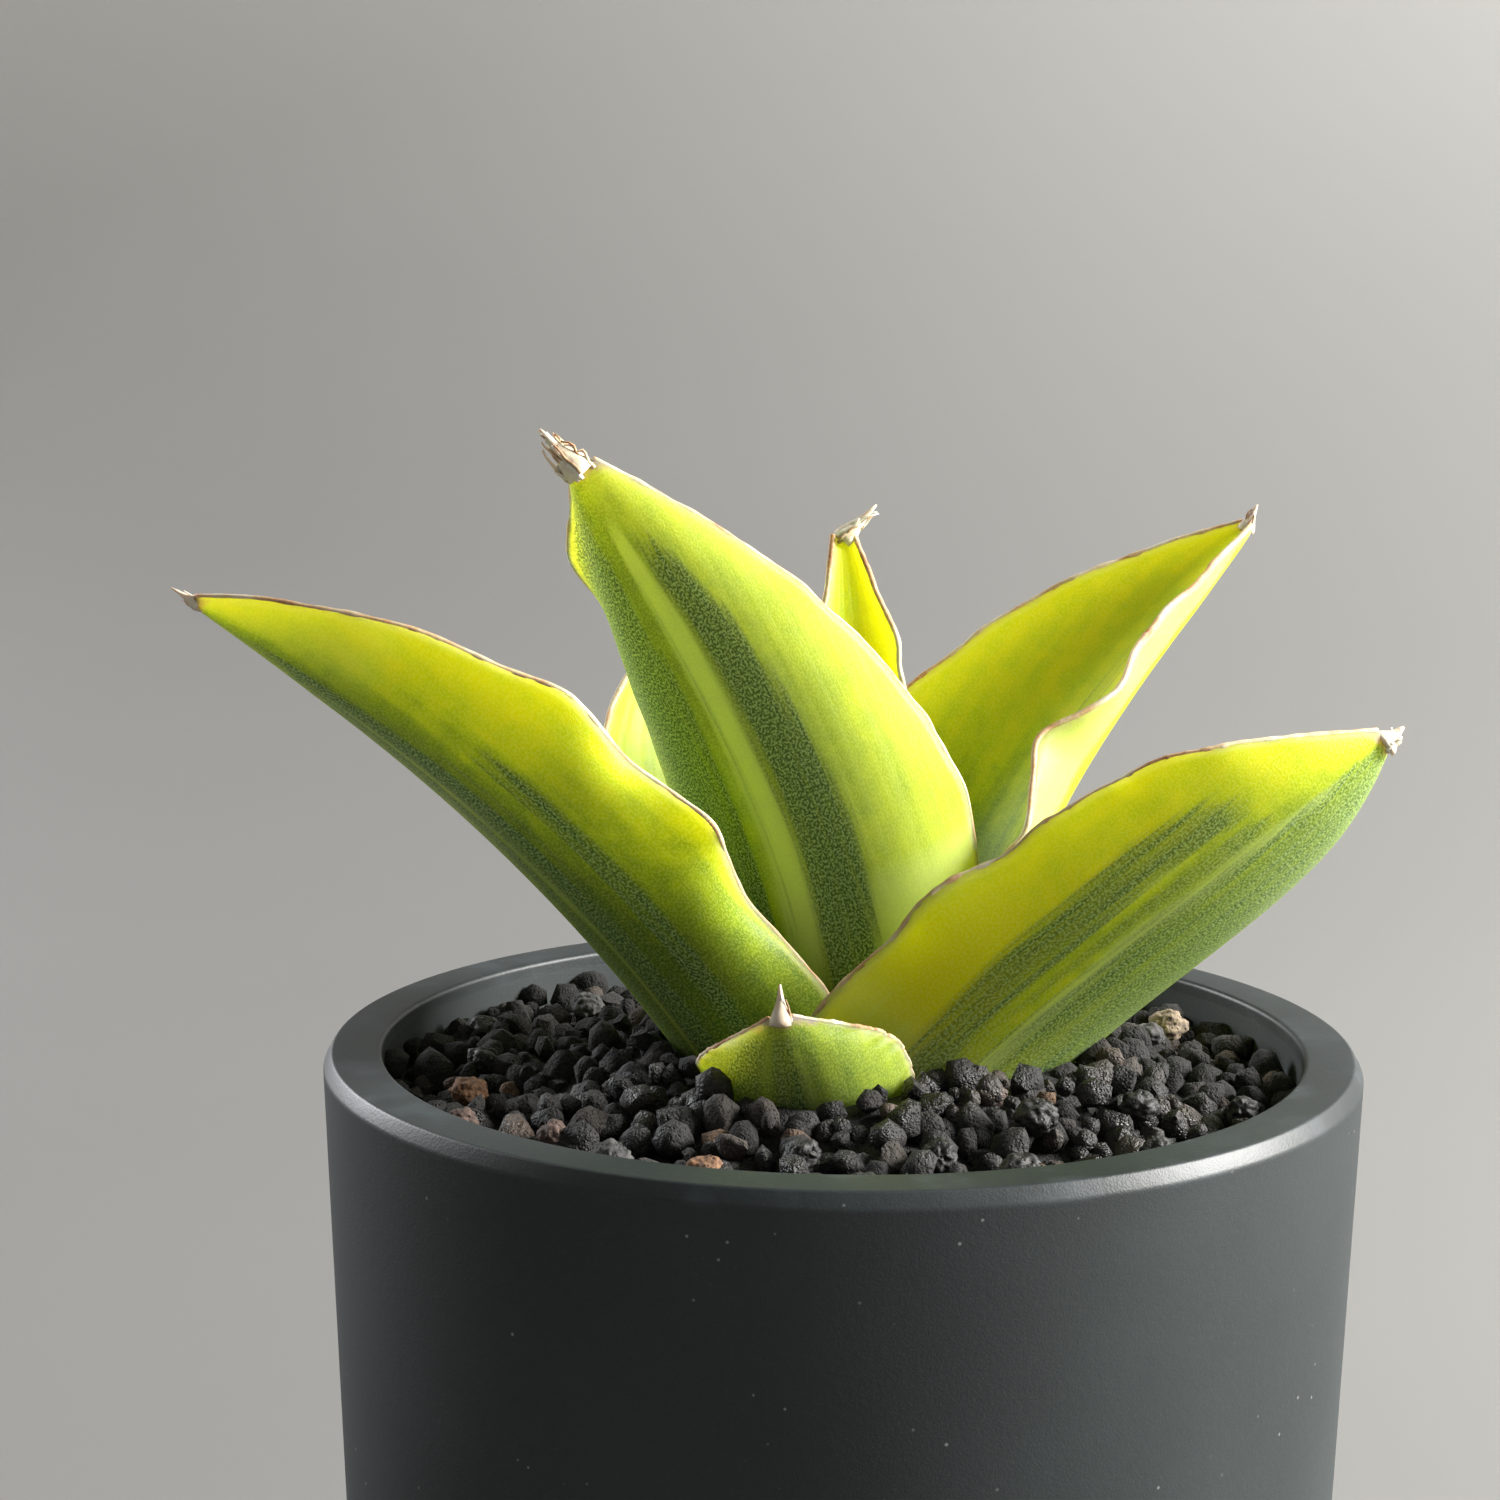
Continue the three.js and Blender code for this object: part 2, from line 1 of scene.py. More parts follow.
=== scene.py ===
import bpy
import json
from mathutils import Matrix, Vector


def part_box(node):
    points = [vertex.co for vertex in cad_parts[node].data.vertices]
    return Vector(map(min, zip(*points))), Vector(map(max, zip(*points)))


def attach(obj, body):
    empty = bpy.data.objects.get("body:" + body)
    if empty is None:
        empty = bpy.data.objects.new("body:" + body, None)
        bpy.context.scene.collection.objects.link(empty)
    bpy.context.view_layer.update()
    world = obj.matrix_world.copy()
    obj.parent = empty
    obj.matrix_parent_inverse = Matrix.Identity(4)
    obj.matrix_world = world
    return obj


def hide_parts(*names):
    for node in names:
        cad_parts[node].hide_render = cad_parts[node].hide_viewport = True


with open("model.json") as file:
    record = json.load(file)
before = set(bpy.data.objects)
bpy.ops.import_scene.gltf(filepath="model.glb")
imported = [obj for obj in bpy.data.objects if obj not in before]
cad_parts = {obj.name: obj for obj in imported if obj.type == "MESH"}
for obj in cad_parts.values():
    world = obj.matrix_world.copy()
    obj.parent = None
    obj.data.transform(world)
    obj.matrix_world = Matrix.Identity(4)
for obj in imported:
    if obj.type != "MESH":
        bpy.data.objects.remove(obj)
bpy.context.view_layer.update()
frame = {"nodes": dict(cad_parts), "record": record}

import json
import math
import random

import bmesh
import bpy
from mathutils import Matrix, Vector, noise
from mathutils.bvhtree import BVHTree

# ---------- Camera, floor and light ----------
# A close, slightly raised view over the front of the rim. The floor is a wide, pale dish that
# curves up all round, so no edge of it shows; its colour holds painted light, darker on the flat and
# lighter up the far wall and towards the right. The main light is a soft window at the right; a weak
# one behind on the left lights the leaves from the back, and a third lifts the far wall of the dish.

MM = 0.001
FLOOR_FLAT = 0.3
FLOOR_BEND = 1.3
FLOOR_TOP = 1.6
FLOOR_SIDES = 96
rim_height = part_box("pot")[1].z
scene = bpy.context.scene


def link(name, mesh):
    piece = bpy.data.objects.new(name, mesh)
    scene.collection.objects.link(piece)
    return piece


def place_camera(target, distance, pitch, roll, lens):
    """A camera that looks along +Y, tipped down by pitch, with target in the middle of its view."""
    camera = bpy.data.objects.new("camera", bpy.data.cameras.new("camera"))
    camera.data.lens = lens
    camera.data.sensor_width = 36
    camera.data.clip_start = 0.01
    turn = Matrix.Rotation(math.pi / 2 - pitch, 4, "X") @ Matrix.Rotation(roll, 4, "Z")
    back = turn @ Vector((0, 0, distance))
    camera.matrix_world = Matrix.Translation(target + back) @ turn
    scene.collection.objects.link(camera)
    scene.camera = camera


place_camera(
    target=Vector((-9 * MM, 0, rim_height + 28.2 * MM)),
    distance=276 * MM,
    pitch=math.radians(8.9),
    roll=math.radians(0.31),
    lens=69.1,
)


def turned_mesh(name, outline, sides):
    """A mesh turned about the Z axis from [radius, height] points; a point on the axis closes it."""
    shell = bmesh.new()
    rings = []
    for radius, height in outline:
        if radius == 0:
            rings.append([shell.verts.new((0, 0, height))])
            continue
        angles = [2 * math.pi * i / sides for i in range(sides)]
        rings.append([shell.verts.new((radius * math.cos(a), radius * math.sin(a), height)) for a in angles])
    for low, high in zip(rings, rings[1:]):
        for i in range(sides):
            lower = [low[i % len(low)], low[(i + 1) % len(low)]]
            upper = [high[(i + 1) % len(high)], high[i % len(high)]]
            shell.faces.new(list(dict.fromkeys(lower + upper)))
    bmesh.ops.recalc_face_normals(shell, faces=shell.faces)
    mesh = bpy.data.meshes.new(name)
    shell.to_mesh(mesh)
    shell.free()
    return mesh


def smooth(piece, angle=180):
    piece.data.polygons.foreach_set("use_smooth", [True] * len(piece.data.polygons))
    if angle < 180:
        piece.data.set_sharp_from_angle(angle=math.radians(angle))


def arc(centre, radius, start, end, steps):
    """Points of a round corner in an outline, from one bearing to another, in degrees."""
    bearings = [math.radians(start + (end - start) * i / steps) for i in range(steps + 1)]
    return [(centre[0] + radius * math.cos(b), centre[1] + radius * math.sin(b)) for b in bearings]


class Wire:
    """A shader value that arithmetic works on: each operator adds one Math node."""

    def __init__(self, finish, socket):
        self.finish = finish
        self.socket = socket

    def maths(self, operation, *values):
        return self.finish.node("ShaderNodeMath", {"operation": operation}, dict(enumerate(values)))

    def __add__(self, other):
        return self.maths("ADD", self, other)

    def __radd__(self, other):
        return self.maths("ADD", other, self)

    def __sub__(self, other):
        return self.maths("SUBTRACT", self, other)

    def __rsub__(self, other):
        return self.maths("SUBTRACT", other, self)

    def __mul__(self, other):
        return self.maths("MULTIPLY", self, other)

    def __rmul__(self, other):
        return self.maths("MULTIPLY", other, self)

    def step(self, low, high):
        """0 below low, 1 above high and a smooth rise between; the other way round if low > high."""
        kind = {"interpolation_type": "SMOOTHSTEP"}
        limits = {"Value": self, "From Min": low, "From Max": high}
        if low > high:
            limits = {"Value": self, "From Min": high, "From Max": low, "To Min": 1.0, "To Max": 0.0}
        return self.finish.node("ShaderNodeMapRange", kind, limits)


class Finish:
    """A material under construction. Constants go straight on the shader's own sockets."""

    def __init__(self, name, **constants):
        self.material = bpy.data.materials.new(name)
        self.material.use_nodes = True
        self.tree = self.material.node_tree
        self.shader = self.tree.nodes["Principled BSDF"]
        self.sockets = {socket.name.lower().replace(" ", "_"): socket for socket in self.shader.inputs}
        for words, value in constants.items():
            self.sockets[words].default_value = value

    def node(self, kind, settings=None, inputs=None, output=0):
        """Adds a node: its settings first, then the values or links of its sockets."""
        made = self.tree.nodes.new(kind)
        for word, value in (settings or {}).items():
            if word == "stops":
                ramp = made.color_ramp.elements
                while len(ramp) < len(value):
                    ramp.new(0.5)
                for stop, (place, colour) in zip(ramp, value):
                    stop.position = place
                    stop.color = (*colour, 1)
                continue
            setattr(made, word, value)
        for key, value in (inputs or {}).items():
            socket = made.inputs[key]
            if isinstance(value, Wire):
                self.tree.links.new(value.socket, socket)
            elif isinstance(value, tuple) and socket.type == "RGBA":
                socket.default_value = (*value, 1)
            else:
                socket.default_value = value
        return Wire(self, made.outputs[output])

    def place(self):
        return self.node("ShaderNodeTexCoord", output="Object")

    def axis(self, letter):
        """The place along one of the part's axes, in metres."""
        return self.node("ShaderNodeSeparateXYZ", inputs={"Vector": self.place()}, output=letter)

    def attribute(self, name):
        return self.node("ShaderNodeAttribute", {"attribute_name": name}, output="Fac")

    def speckle(self, scale, detail=3.0, where=None, stretch=None):
        """Noise from 0 to 1, with scale repeats a metre."""
        vector = where or self.place()
        if stretch:
            vector = self.node("ShaderNodeMapping", inputs={"Vector": vector, "Scale": stretch})
        return self.node("ShaderNodeTexNoise", inputs={"Vector": vector, "Scale": scale, "Detail": detail})

    def cells(self, scale):
        """The distance from the middle of the nearest of random cells, with scale cells a metre."""
        inputs = {"Vector": self.place(), "Scale": scale}
        return self.node("ShaderNodeTexVoronoi", inputs=inputs, output="Distance")

    def mix(self, amount, under, over):
        """under where amount is 0 and over where it is 1: colours, or links that carry them."""
        return self.node("ShaderNodeMix", {"data_type": "RGBA"}, {0: amount, 6: under, 7: over}, output=2)

    def ramp(self, value, *stops):
        return self.node("ShaderNodeValToRGB", {"stops": stops}, {0: value})

    def feed(self, **links):
        for words, value in links.items():
            self.tree.links.new(value.socket, self.sockets[words])

    def relief(self, height, depth):
        """A bump of the surface: height is a value from 0 to 1 and depth its size in metres."""
        bump = self.node("ShaderNodeBump", inputs={"Height": height, "Distance": depth, "Strength": 1.0})
        self.feed(normal=bump)


def make_stage():
    corner = arc((FLOOR_FLAT, FLOOR_BEND), FLOOR_BEND, -90, 0, 24)
    outline = [(0, 0), *corner, (FLOOR_FLAT + FLOOR_BEND, FLOOR_TOP)]
    floor = link("floor", turned_mesh("floor", outline, FLOOR_SIDES))
    floor.data.flip_normals()
    smooth(floor)
    pale = Finish("pale_floor", roughness=0.9)
    # Painted light: the colour runs from dark on the flat floor to light up the far wall and towards the
    # right, where the window lights the backdrop more; only the faint speckle is the floor's own.
    rise = pale.axis("Z").step(-0.1, 0.5)
    painted_light_rightward = pale.axis("X").step(-0.35, 0.35)
    shade = rise * 0.74 + painted_light_rightward * 0.26 + (pale.speckle(3, 2) - 0.5) * 0.08
    pale.feed(base_color=pale.ramp(shade, (0.0, (0.115, 0.113, 0.109)), (1.0, (0.445, 0.438, 0.421))))
    floor.data.materials.append(pale.material)


def place_light(name, position, aim, size, power, colour):
    lamp = bpy.data.lights.new(name, "AREA")
    lamp.shape = "DISK"
    lamp.size = size
    lamp.energy = power
    lamp.color = colour
    light = bpy.data.objects.new(name, lamp)
    light.location = position
    light.rotation_euler = (Vector(aim) - Vector(position)).to_track_quat("-Z", "Y").to_euler()
    scene.collection.objects.link(light)


make_stage()
leaves_middle = (0, 0, rim_height + 20 * MM)
place_light("window", (0.79, -0.03, 0.50), leaves_middle, 0.40, 29, (1.0, 0.985, 0.95))
place_light("behind_left", (-0.60, 0.45, 0.35), leaves_middle, 0.30, 5.2, (0.95, 0.97, 1.0))
place_light("backdrop", (0.95, 0.75, 0.75), (0.55, 1.6, 0.40), 0.40, 13, (1.0, 1.0, 0.98))
scene.world = scene.world or bpy.data.worlds.new("sky")
scene.world.use_nodes = True
scene.world.node_tree.nodes["Background"].inputs["Color"].default_value = (0.86, 0.88, 0.90, 1)
scene.world.node_tree.nodes["Background"].inputs["Strength"].default_value = 0.265
scene.view_settings.view_transform = "Standard"

# ---------- Pot ----------
# A slip-cast round pot, stained charcoal right through and left matt. Its walls lean in a little
# towards the foot, and the rim is ground flat with a chamfer round its outer edge.

POT_RADIUS = 50 * MM
POT_SIDES = 160
POT_CREASE = 35  # degrees: the pot is shaded flat across sharper corners than this
POT_DRAFT = math.tan(math.radians(2))
WALL = 5.6 * MM
POT_FLOOR = 6 * MM
RIM_CHAMFER_IN = 0.9 * MM
RIM_CHAMFER_DOWN = 1.4 * MM
LIP_CHAMFER = 0.3 * MM
FOOT_CHAMFER = 1.0 * MM
CORNER_ROUND = 0.25 * MM
PACKED_MARGIN = 0.05 * MM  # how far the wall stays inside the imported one
DRAIN_HOLES = 4
DRAIN_HOLE_RADIUS = 5 * MM
DRAIN_CIRCLE = 17 * MM


def pot_outside(height):
    return POT_RADIUS - (rim_height - height) * POT_DRAFT - PACKED_MARGIN


def pot_inside(height):
    return pot_outside(height) - WALL


def softened(outline, radius, steps=4):
    """The outline with every corner that isn't on the axis rounded by a small curve."""
    points = [outline[0]]
    for before, corner, after in zip(outline, outline[1:], outline[2:]):
        here = Vector(corner)
        into = Vector(before) - here
        away = Vector(after) - here
        start = here + into.normalized() * min(radius, into.length * 0.45)
        end = here + away.normalized() * min(radius, away.length * 0.45)
        for i in range(steps + 1):
            t = i / steps
            points.append(tuple((1 - t) ** 2 * start + 2 * t * (1 - t) * here + t * t * end))
    return points + [outline[-1]]


def make_pot():
    top = rim_height
    outline = [
        (0, 0),
        (pot_outside(0) - FOOT_CHAMFER, 0),
        (pot_outside(0), FOOT_CHAMFER),
        (pot_outside(0.5 * top), 0.5 * top),
        (pot_outside(top - RIM_CHAMFER_DOWN), top - RIM_CHAMFER_DOWN),
        (POT_RADIUS - RIM_CHAMFER_IN, top),
        (pot_inside(top) + LIP_CHAMFER, top),
        (pot_inside(top), top - LIP_CHAMFER),
        (pot_inside(POT_FLOOR), POT_FLOOR),
        (0, POT_FLOOR),
    ]
    pot = link("pot_body", turned_mesh("pot_body", softened(outline, CORNER_ROUND), POT_SIDES))
    for i in range(DRAIN_HOLES):
        angle = 2 * math.pi * (i + 0.5) / DRAIN_HOLES
        middle = (DRAIN_CIRCLE * math.cos(angle), DRAIN_CIRCLE * math.sin(angle), POT_FLOOR / 2)
        bpy.ops.mesh.primitive_cylinder_add(
            vertices=40, radius=DRAIN_HOLE_RADIUS, depth=3 * POT_FLOOR, location=middle
        )
        drill = bpy.context.object
        cut = pot.modifiers.new("hole", "BOOLEAN")
        cut.object = drill
        cut.solver = "EXACT"
        drilled = bpy.data.meshes.new_from_object(pot.evaluated_get(bpy.context.evaluated_depsgraph_get()))
        pot.modifiers.clear()
        pot.data = drilled
        bpy.data.objects.remove(drill)
    smooth(pot, POT_CREASE)
    return pot


def pot_finish():
    """Matt charcoal: fine grain, faint clouds, a sheen on the ground rim and a few specks of dust."""
    body = Finish("charcoal_pot", specular_ior_level=0.42)
    grain = body.speckle(5200, 3)
    cloud = body.speckle(38, 4)
    colour = body.mix(cloud.step(0.3, 0.75), (0.0168, 0.0222, 0.0235), (0.0255, 0.0325, 0.0345))
    colour = body.mix(grain.step(0.45, 0.9) * 0.3, colour, (0.058, 0.064, 0.068))
    rim = body.axis("Z").step(rim_height - 1.9 * MM, rim_height - 1.2 * MM)
    worn = rim * body.speckle(160, 5).step(0.50, 0.72)
    colour = body.mix(worn * 0.45, colour, (0.062, 0.074, 0.086))
    dust = body.cells(1500).step(0.24, 0.12) * body.speckle(75, 3).step(0.66, 0.82)
    lint = body.cells(380).step(0.075, 0.035) * body.speckle(47, 2).step(0.45, 0.6)
    colour = body.mix((dust + lint) * 0.6, colour, (0.30, 0.31, 0.31))
    body.feed(base_color=colour, roughness=0.60 + 0.12 * cloud - 0.20 * rim)
    body.relief(grain * 0.5 + body.speckle(1300, 2) * 0.5, 0.035 * MM)
    return body.material


pot = make_pot()
pot.data.materials.clear()
pot.data.materials.append(pot_finish())
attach(pot, "root")
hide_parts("pot")

# ---------- Drainage mesh and drainage gravel ----------
# A moulded plastic mesh over the drain holes keeps the gravel in, and a layer of coarse pumice lies
# on it. Both are hidden by the pot and the grit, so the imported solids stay, in their own finishes.


def refinish(node, material):
    """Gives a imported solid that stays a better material."""
    packed = frame["nodes"][node]
    packed.data.materials.clear()
    packed.data.materials.append(material)


def mesh_finish():
    plastic = Finish("black_mesh")
    worn = plastic.speckle(700, 3)
    plastic.feed(base_color=plastic.ramp(worn, (0.35, (0.012, 0.012, 0.013)), (0.7, (0.03, 0.03, 0.032))))
    plastic.feed(roughness=0.45 + 0.2 * worn)
    plastic.relief(plastic.speckle(3000, 2), 0.05 * MM)
    return plastic.material


def pumice_finish():
    pumice = Finish("pale_pumice")
    lumps = pumice.cells(230)
    pores = pumice.speckle(2200, 4)
    colour = pumice.ramp(pores, (0.3, (0.25, 0.22, 0.17)), (0.7, (0.58, 0.54, 0.46)))
    pumice.feed(base_color=pumice.mix(lumps.step(0.55, 0.9), colour, (0.12, 0.1, 0.08)))
    pumice.feed(roughness=0.85 + 0.1 * pores)
    pumice.relief((1 - lumps) * 0.7 + pores * 0.3, 1.5 * MM)
    return pumice.material


refinish("drainage_mesh", mesh_finish())
refinish("drainage_gravel", pumice_finish())

# ---------- Black lava grit ----------
# Crushed black lava, sieved to 2 to 5 mm, poured in round the plant and heaped up against it. The
# packed bed stays as the dark underside, and loose grains are scattered over it in two layers.

BED_DEPTH = 7 * MM
STEEPEST_BED = 0.6  # the Z of the normal of the steepest face that grains lie on
GRAIN_SHAPES = 12
GRAIN_CREASE = 48
GRAIN_SPACING = 2.0 * MM
SMALLEST_GRAIN = 1.9 * MM
LARGEST_GRAIN = 4.6 * MM
GRAIN_LAYERS = [(320000.0, 1.0), (200000.0, 1.4)]  # grains a square metre at most, share of the spacing
LOWEST_LAYER = 0.3 * MM
LAYER_STEP = 1.1 * MM
GRAIN_LIFT = 0.9 * MM


def bed_surface():
    """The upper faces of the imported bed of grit, as the ground that the grains lie on."""
    bed = bmesh.new()
    bed.from_mesh(frame["nodes"]["grit"].data)
    bmesh.ops.remove_doubles(bed, verts=bed.verts, dist=0.001 * MM)
    bed.normal_update()
    lowest = rim_height - BED_DEPTH
    under = [f for f in bed.faces if f.normal.z < STEEPEST_BED or f.calc_center_median().z < lowest]
    bmesh.ops.delete(bed, geom=under, context="FACES")
    mesh = bpy.data.meshes.new("bed_surface")
    bed.to_mesh(mesh)
    bed.free()
    return mesh


def new_tree(name, **sizes):
    """A node tree for one modifier, with a geometry input, named number inputs and an output."""
    tree = bpy.data.node_groups.new(name, "GeometryNodeTree")
    tree.interface.new_socket("Geometry", in_out="INPUT", socket_type="NodeSocketGeometry")
    for word, value in sizes.items():
        socket = tree.interface.new_socket(word, in_out="INPUT", socket_type="NodeSocketFloat")
        socket.default_value = value
    tree.interface.new_socket("Geometry", in_out="OUTPUT", socket_type="NodeSocketGeometry")
    return tree


def add(tree, kind, settings=None, inputs=None):
    """Adds a geometry node; a value that is a socket is linked and any other is set."""
    made = tree.nodes.new(kind)
    for word, value in (settings or {}).items():
        setattr(made, word, value)
    for key, value in (inputs or {}).items():
        if isinstance(value, bpy.types.NodeSocket):
            tree.links.new(value, made.inputs[key])
        else:
            made.inputs[key].default_value = value
    return made


def angular_lump(tree, seed):
    """One crushed grain, about 1 unit across: the hull of a ball whose points are pushed in at random."""
    ball = add(tree, "GeometryNodeMeshIcoSphere", inputs={"Radius": 0.5, "Subdivisions": 2})
    place = add(tree, "GeometryNodeInputPosition").outputs[0]
    push = add(
        tree, "FunctionNodeRandomValue", {"data_type": "FLOAT"}, {2: 0.62, 3: 1.12, "Seed": seed}
    ).outputs[1]
    scaled = add(tree, "ShaderNodeVectorMath", {"operation": "SCALE"}, {0: place, "Scale": push}).outputs[0]
    lump = add(tree, "GeometryNodeSetPosition", inputs={"Geometry": ball.outputs["Mesh"], "Position": scaled})
    return add(tree, "GeometryNodeConvexHull", inputs={0: lump.outputs[0]}).outputs[0]


def grains_tree(material):
    """Grains in random turns and sizes on a surface, each with a tone of its own."""
    tree = new_tree("lava_grains", Spacing=GRAIN_SPACING, Smallest=SMALLEST_GRAIN, Largest=LARGEST_GRAIN)
    start = add(tree, "NodeGroupInput").outputs
    shapes = add(tree, "GeometryNodeGeometryToInstance")
    for seed in range(GRAIN_SHAPES):
        tree.links.new(angular_lump(tree, seed), shapes.inputs[0])
    layers = add(tree, "GeometryNodeJoinGeometry")
    for layer, (density, spread) in enumerate(GRAIN_LAYERS):
        gap = add(
            tree, "ShaderNodeMath", {"operation": "MULTIPLY"}, {0: start["Spacing"], 1: spread}
        ).outputs[0]
        points = add(
            tree,
            "GeometryNodeDistributePointsOnFaces",
            {"distribute_method": "POISSON"},
            {"Mesh": start["Geometry"], "Distance Min": gap, "Density Max": density, "Seed": 11 + layer},
        )
        lift = add(
            tree,
            "FunctionNodeRandomValue",
            {"data_type": "FLOAT"},
            {"Min": -GRAIN_LIFT, "Max": GRAIN_LIFT, "Seed": layer},
        )
        raised = add(
            tree,
            "ShaderNodeMath",
            {"operation": "ADD"},
            {0: lift.outputs["Value"], 1: LOWEST_LAYER + LAYER_STEP * layer},
        ).outputs[0]
        offset = add(tree, "ShaderNodeCombineXYZ", inputs={"Z": raised}).outputs[0]
        moved = add(
            tree, "GeometryNodeSetPosition", inputs={"Geometry": points.outputs["Points"], "Offset": offset}
        )
        tree.links.new(moved.outputs[0], layers.inputs[0])
    turn = add(
        tree,
        "FunctionNodeRandomValue",
        {"data_type": "FLOAT_VECTOR"},
        {"Min": (0, 0, 0), "Max": (6.28, 6.28, 6.28), "Seed": 3},
    )
    size = add(
        tree,
        "FunctionNodeRandomValue",
        {"data_type": "FLOAT"},
        {2: start["Smallest"], 3: start["Largest"], "Seed": 4},
    )
    squash = add(
        tree,
        "FunctionNodeRandomValue",
        {"data_type": "FLOAT_VECTOR"},
        {"Min": (0.85, 0.72, 0.6), "Max": (1.15, 1.0, 0.95), "Seed": 5},
    )
    scale = add(
        tree,
        "ShaderNodeVectorMath",
        {"operation": "SCALE"},
        {0: squash.outputs["Value"], "Scale": size.outputs[1]},
    )
    grains = add(
        tree,
        "GeometryNodeInstanceOnPoints",
        inputs={
            "Points": layers.outputs[0],
            "Instance": shapes.outputs[0],
            "Pick Instance": True,
            "Rotation": turn.outputs["Value"],
            "Scale": scale.outputs[0],
        },
    )
    tone = add(tree, "FunctionNodeRandomValue", {"data_type": "FLOAT"}, {"Seed": 6})
    named = add(
        tree,
        "GeometryNodeStoreNamedAttribute",
        {"data_type": "FLOAT", "domain": "INSTANCE"},
        {"Geometry": grains.outputs[0], "Name": "tone", "Value": tone.outputs[1]},
    )
    real = add(tree, "GeometryNodeRealizeInstances", inputs={0: named.outputs[0]})
    finished = add(
        tree, "GeometryNodeSetMaterial", inputs={"Geometry": real.outputs[0], "Material": material}
    )
    end = add(tree, "NodeGroupOutput")
    tree.links.new(finished.outputs[0], end.inputs[0])
    return tree


def baked(piece, tree):
    """Runs the tree on the piece and keeps the result as its plain mesh."""
    modifier = piece.modifiers.new(tree.name, "NODES")
    modifier.node_group = tree
    mesh = bpy.data.meshes.new_from_object(piece.evaluated_get(bpy.context.evaluated_depsgraph_get()))
    piece.modifiers.clear()
    piece.data = mesh
    return piece


def lava_finish():
    """Porous black lava: pitted, with grey, brown and rust grains here and there, and damp at the front."""
    lava = Finish("black_lava")
    tone = lava.attribute("tone")
    pits = lava.cells(2600)
    fine = lava.speckle(3800, 5)
    body = lava.ramp(
        tone,
        (0.0, (0.0070, 0.0068, 0.0070)),
        (0.5, (0.0125, 0.0118, 0.0115)),
        (0.8, (0.025, 0.0225, 0.021)),
        (0.93, (0.046, 0.037, 0.031)),
        (0.985, (0.075, 0.051, 0.037)),
        (1.0, (0.13, 0.075, 0.042)),
    )
    colour = lava.mix(fine.step(0.5, 0.8) * 0.45, body, (0.082, 0.073, 0.064))
    colour = lava.mix(pits.step(0.32, 0.08) * 0.7, colour, (0.004, 0.004, 0.004))
    front = lava.axis("Y").step(8 * MM, -22 * MM)
    damp = front * lava.speckle(90, 3).step(0.38, 0.6)
    lava.feed(base_color=colour, roughness=0.9 - 0.6 * damp + 0.12 * fine)
    knobs = lava.speckle(1150, 2)
    lava.relief(knobs * 0.5 + fine * 0.3 + pits.step(0.05, 0.4) * 0.2, 0.95 * MM)
    return lava.material


lava = lava_finish()
grains = baked(link("lava_grains", bed_surface()), grains_tree(lava))
smooth(grains, GRAIN_CREASE)
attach(grains, "root")
refinish("grit", lava)

# ---------- Rhizome and roots ----------
# A short orange-brown rhizome sits under the leaves and sends thick roots down into the grit. It is
# hidden from every side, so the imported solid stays, with a wrinkled skin.


def root_finish():
    skin = Finish("rhizome_skin")
    folds = skin.speckle(260, 4, stretch=(1, 1, 0.4))
    colour = skin.ramp(folds, (0.3, (0.23, 0.09, 0.03)), (0.55, (0.5, 0.24, 0.09)), (0.8, (0.72, 0.5, 0.28)))
    skin.feed(base_color=colour, roughness=0.6 + 0.3 * folds)
    skin.relief(folds, 0.6 * MM)
    return skin.material


refinish("rhizome_and_roots", root_finish())

# ---------- Leaves ----------
# Stiff, waxy, channelled leaves that sheathe one another at the base. Each is one blade, yellow-green
# with dark green bands along it, edged with a dry horny margin and ending in a dried point.
# path, faces, widths, curl and spine are in millimetres from the pot's axis and the rim's plane.
# bands: dark green stripes as [across at the base, across at the tip, half width, from, to, strength].
# pale: light stripes, in the same form; some near the base are painted light. green: how green the field
# between them is, from one margin (across = -1) over the middle to the other (across = 1).
# foot: painted shade at the base, as how much greener it is painted there; below 0 the
# base is painted paler instead, as painted light.
# strands: how many dried fibres stand at its point.

LEAF_EDGE = 0.6
LEAF_TAPER = 0.12
LEAF_THINNING = 0.45
TIP_SHARE = 0.3
TIP_THICKNESS = 0.25
EDGE_POWER = 1.8
WAVE_POWER = 6
RIPPLE_SIDEWAYS = 0.30
RIPPLE_INWARDS = 0.45
GROOVE_DEPTH = 0.07
STRIPE_START = 0.08  # the share of the blade over which a stripe comes in
STRIPE_END = 0.12
UV_LENGTH = 40  # millimetres of blade for each unit of the UV map
BLADE_RINGS = 170
BLADE_FACES = 44
MARGIN_RINGS = 230
MARGIN_RADIUS = 0.30
MARGIN_ROUGHNESS = 0.10
FIBRE_STEPS = 7
GRAIN_CLEARANCE = 0.7 * MM

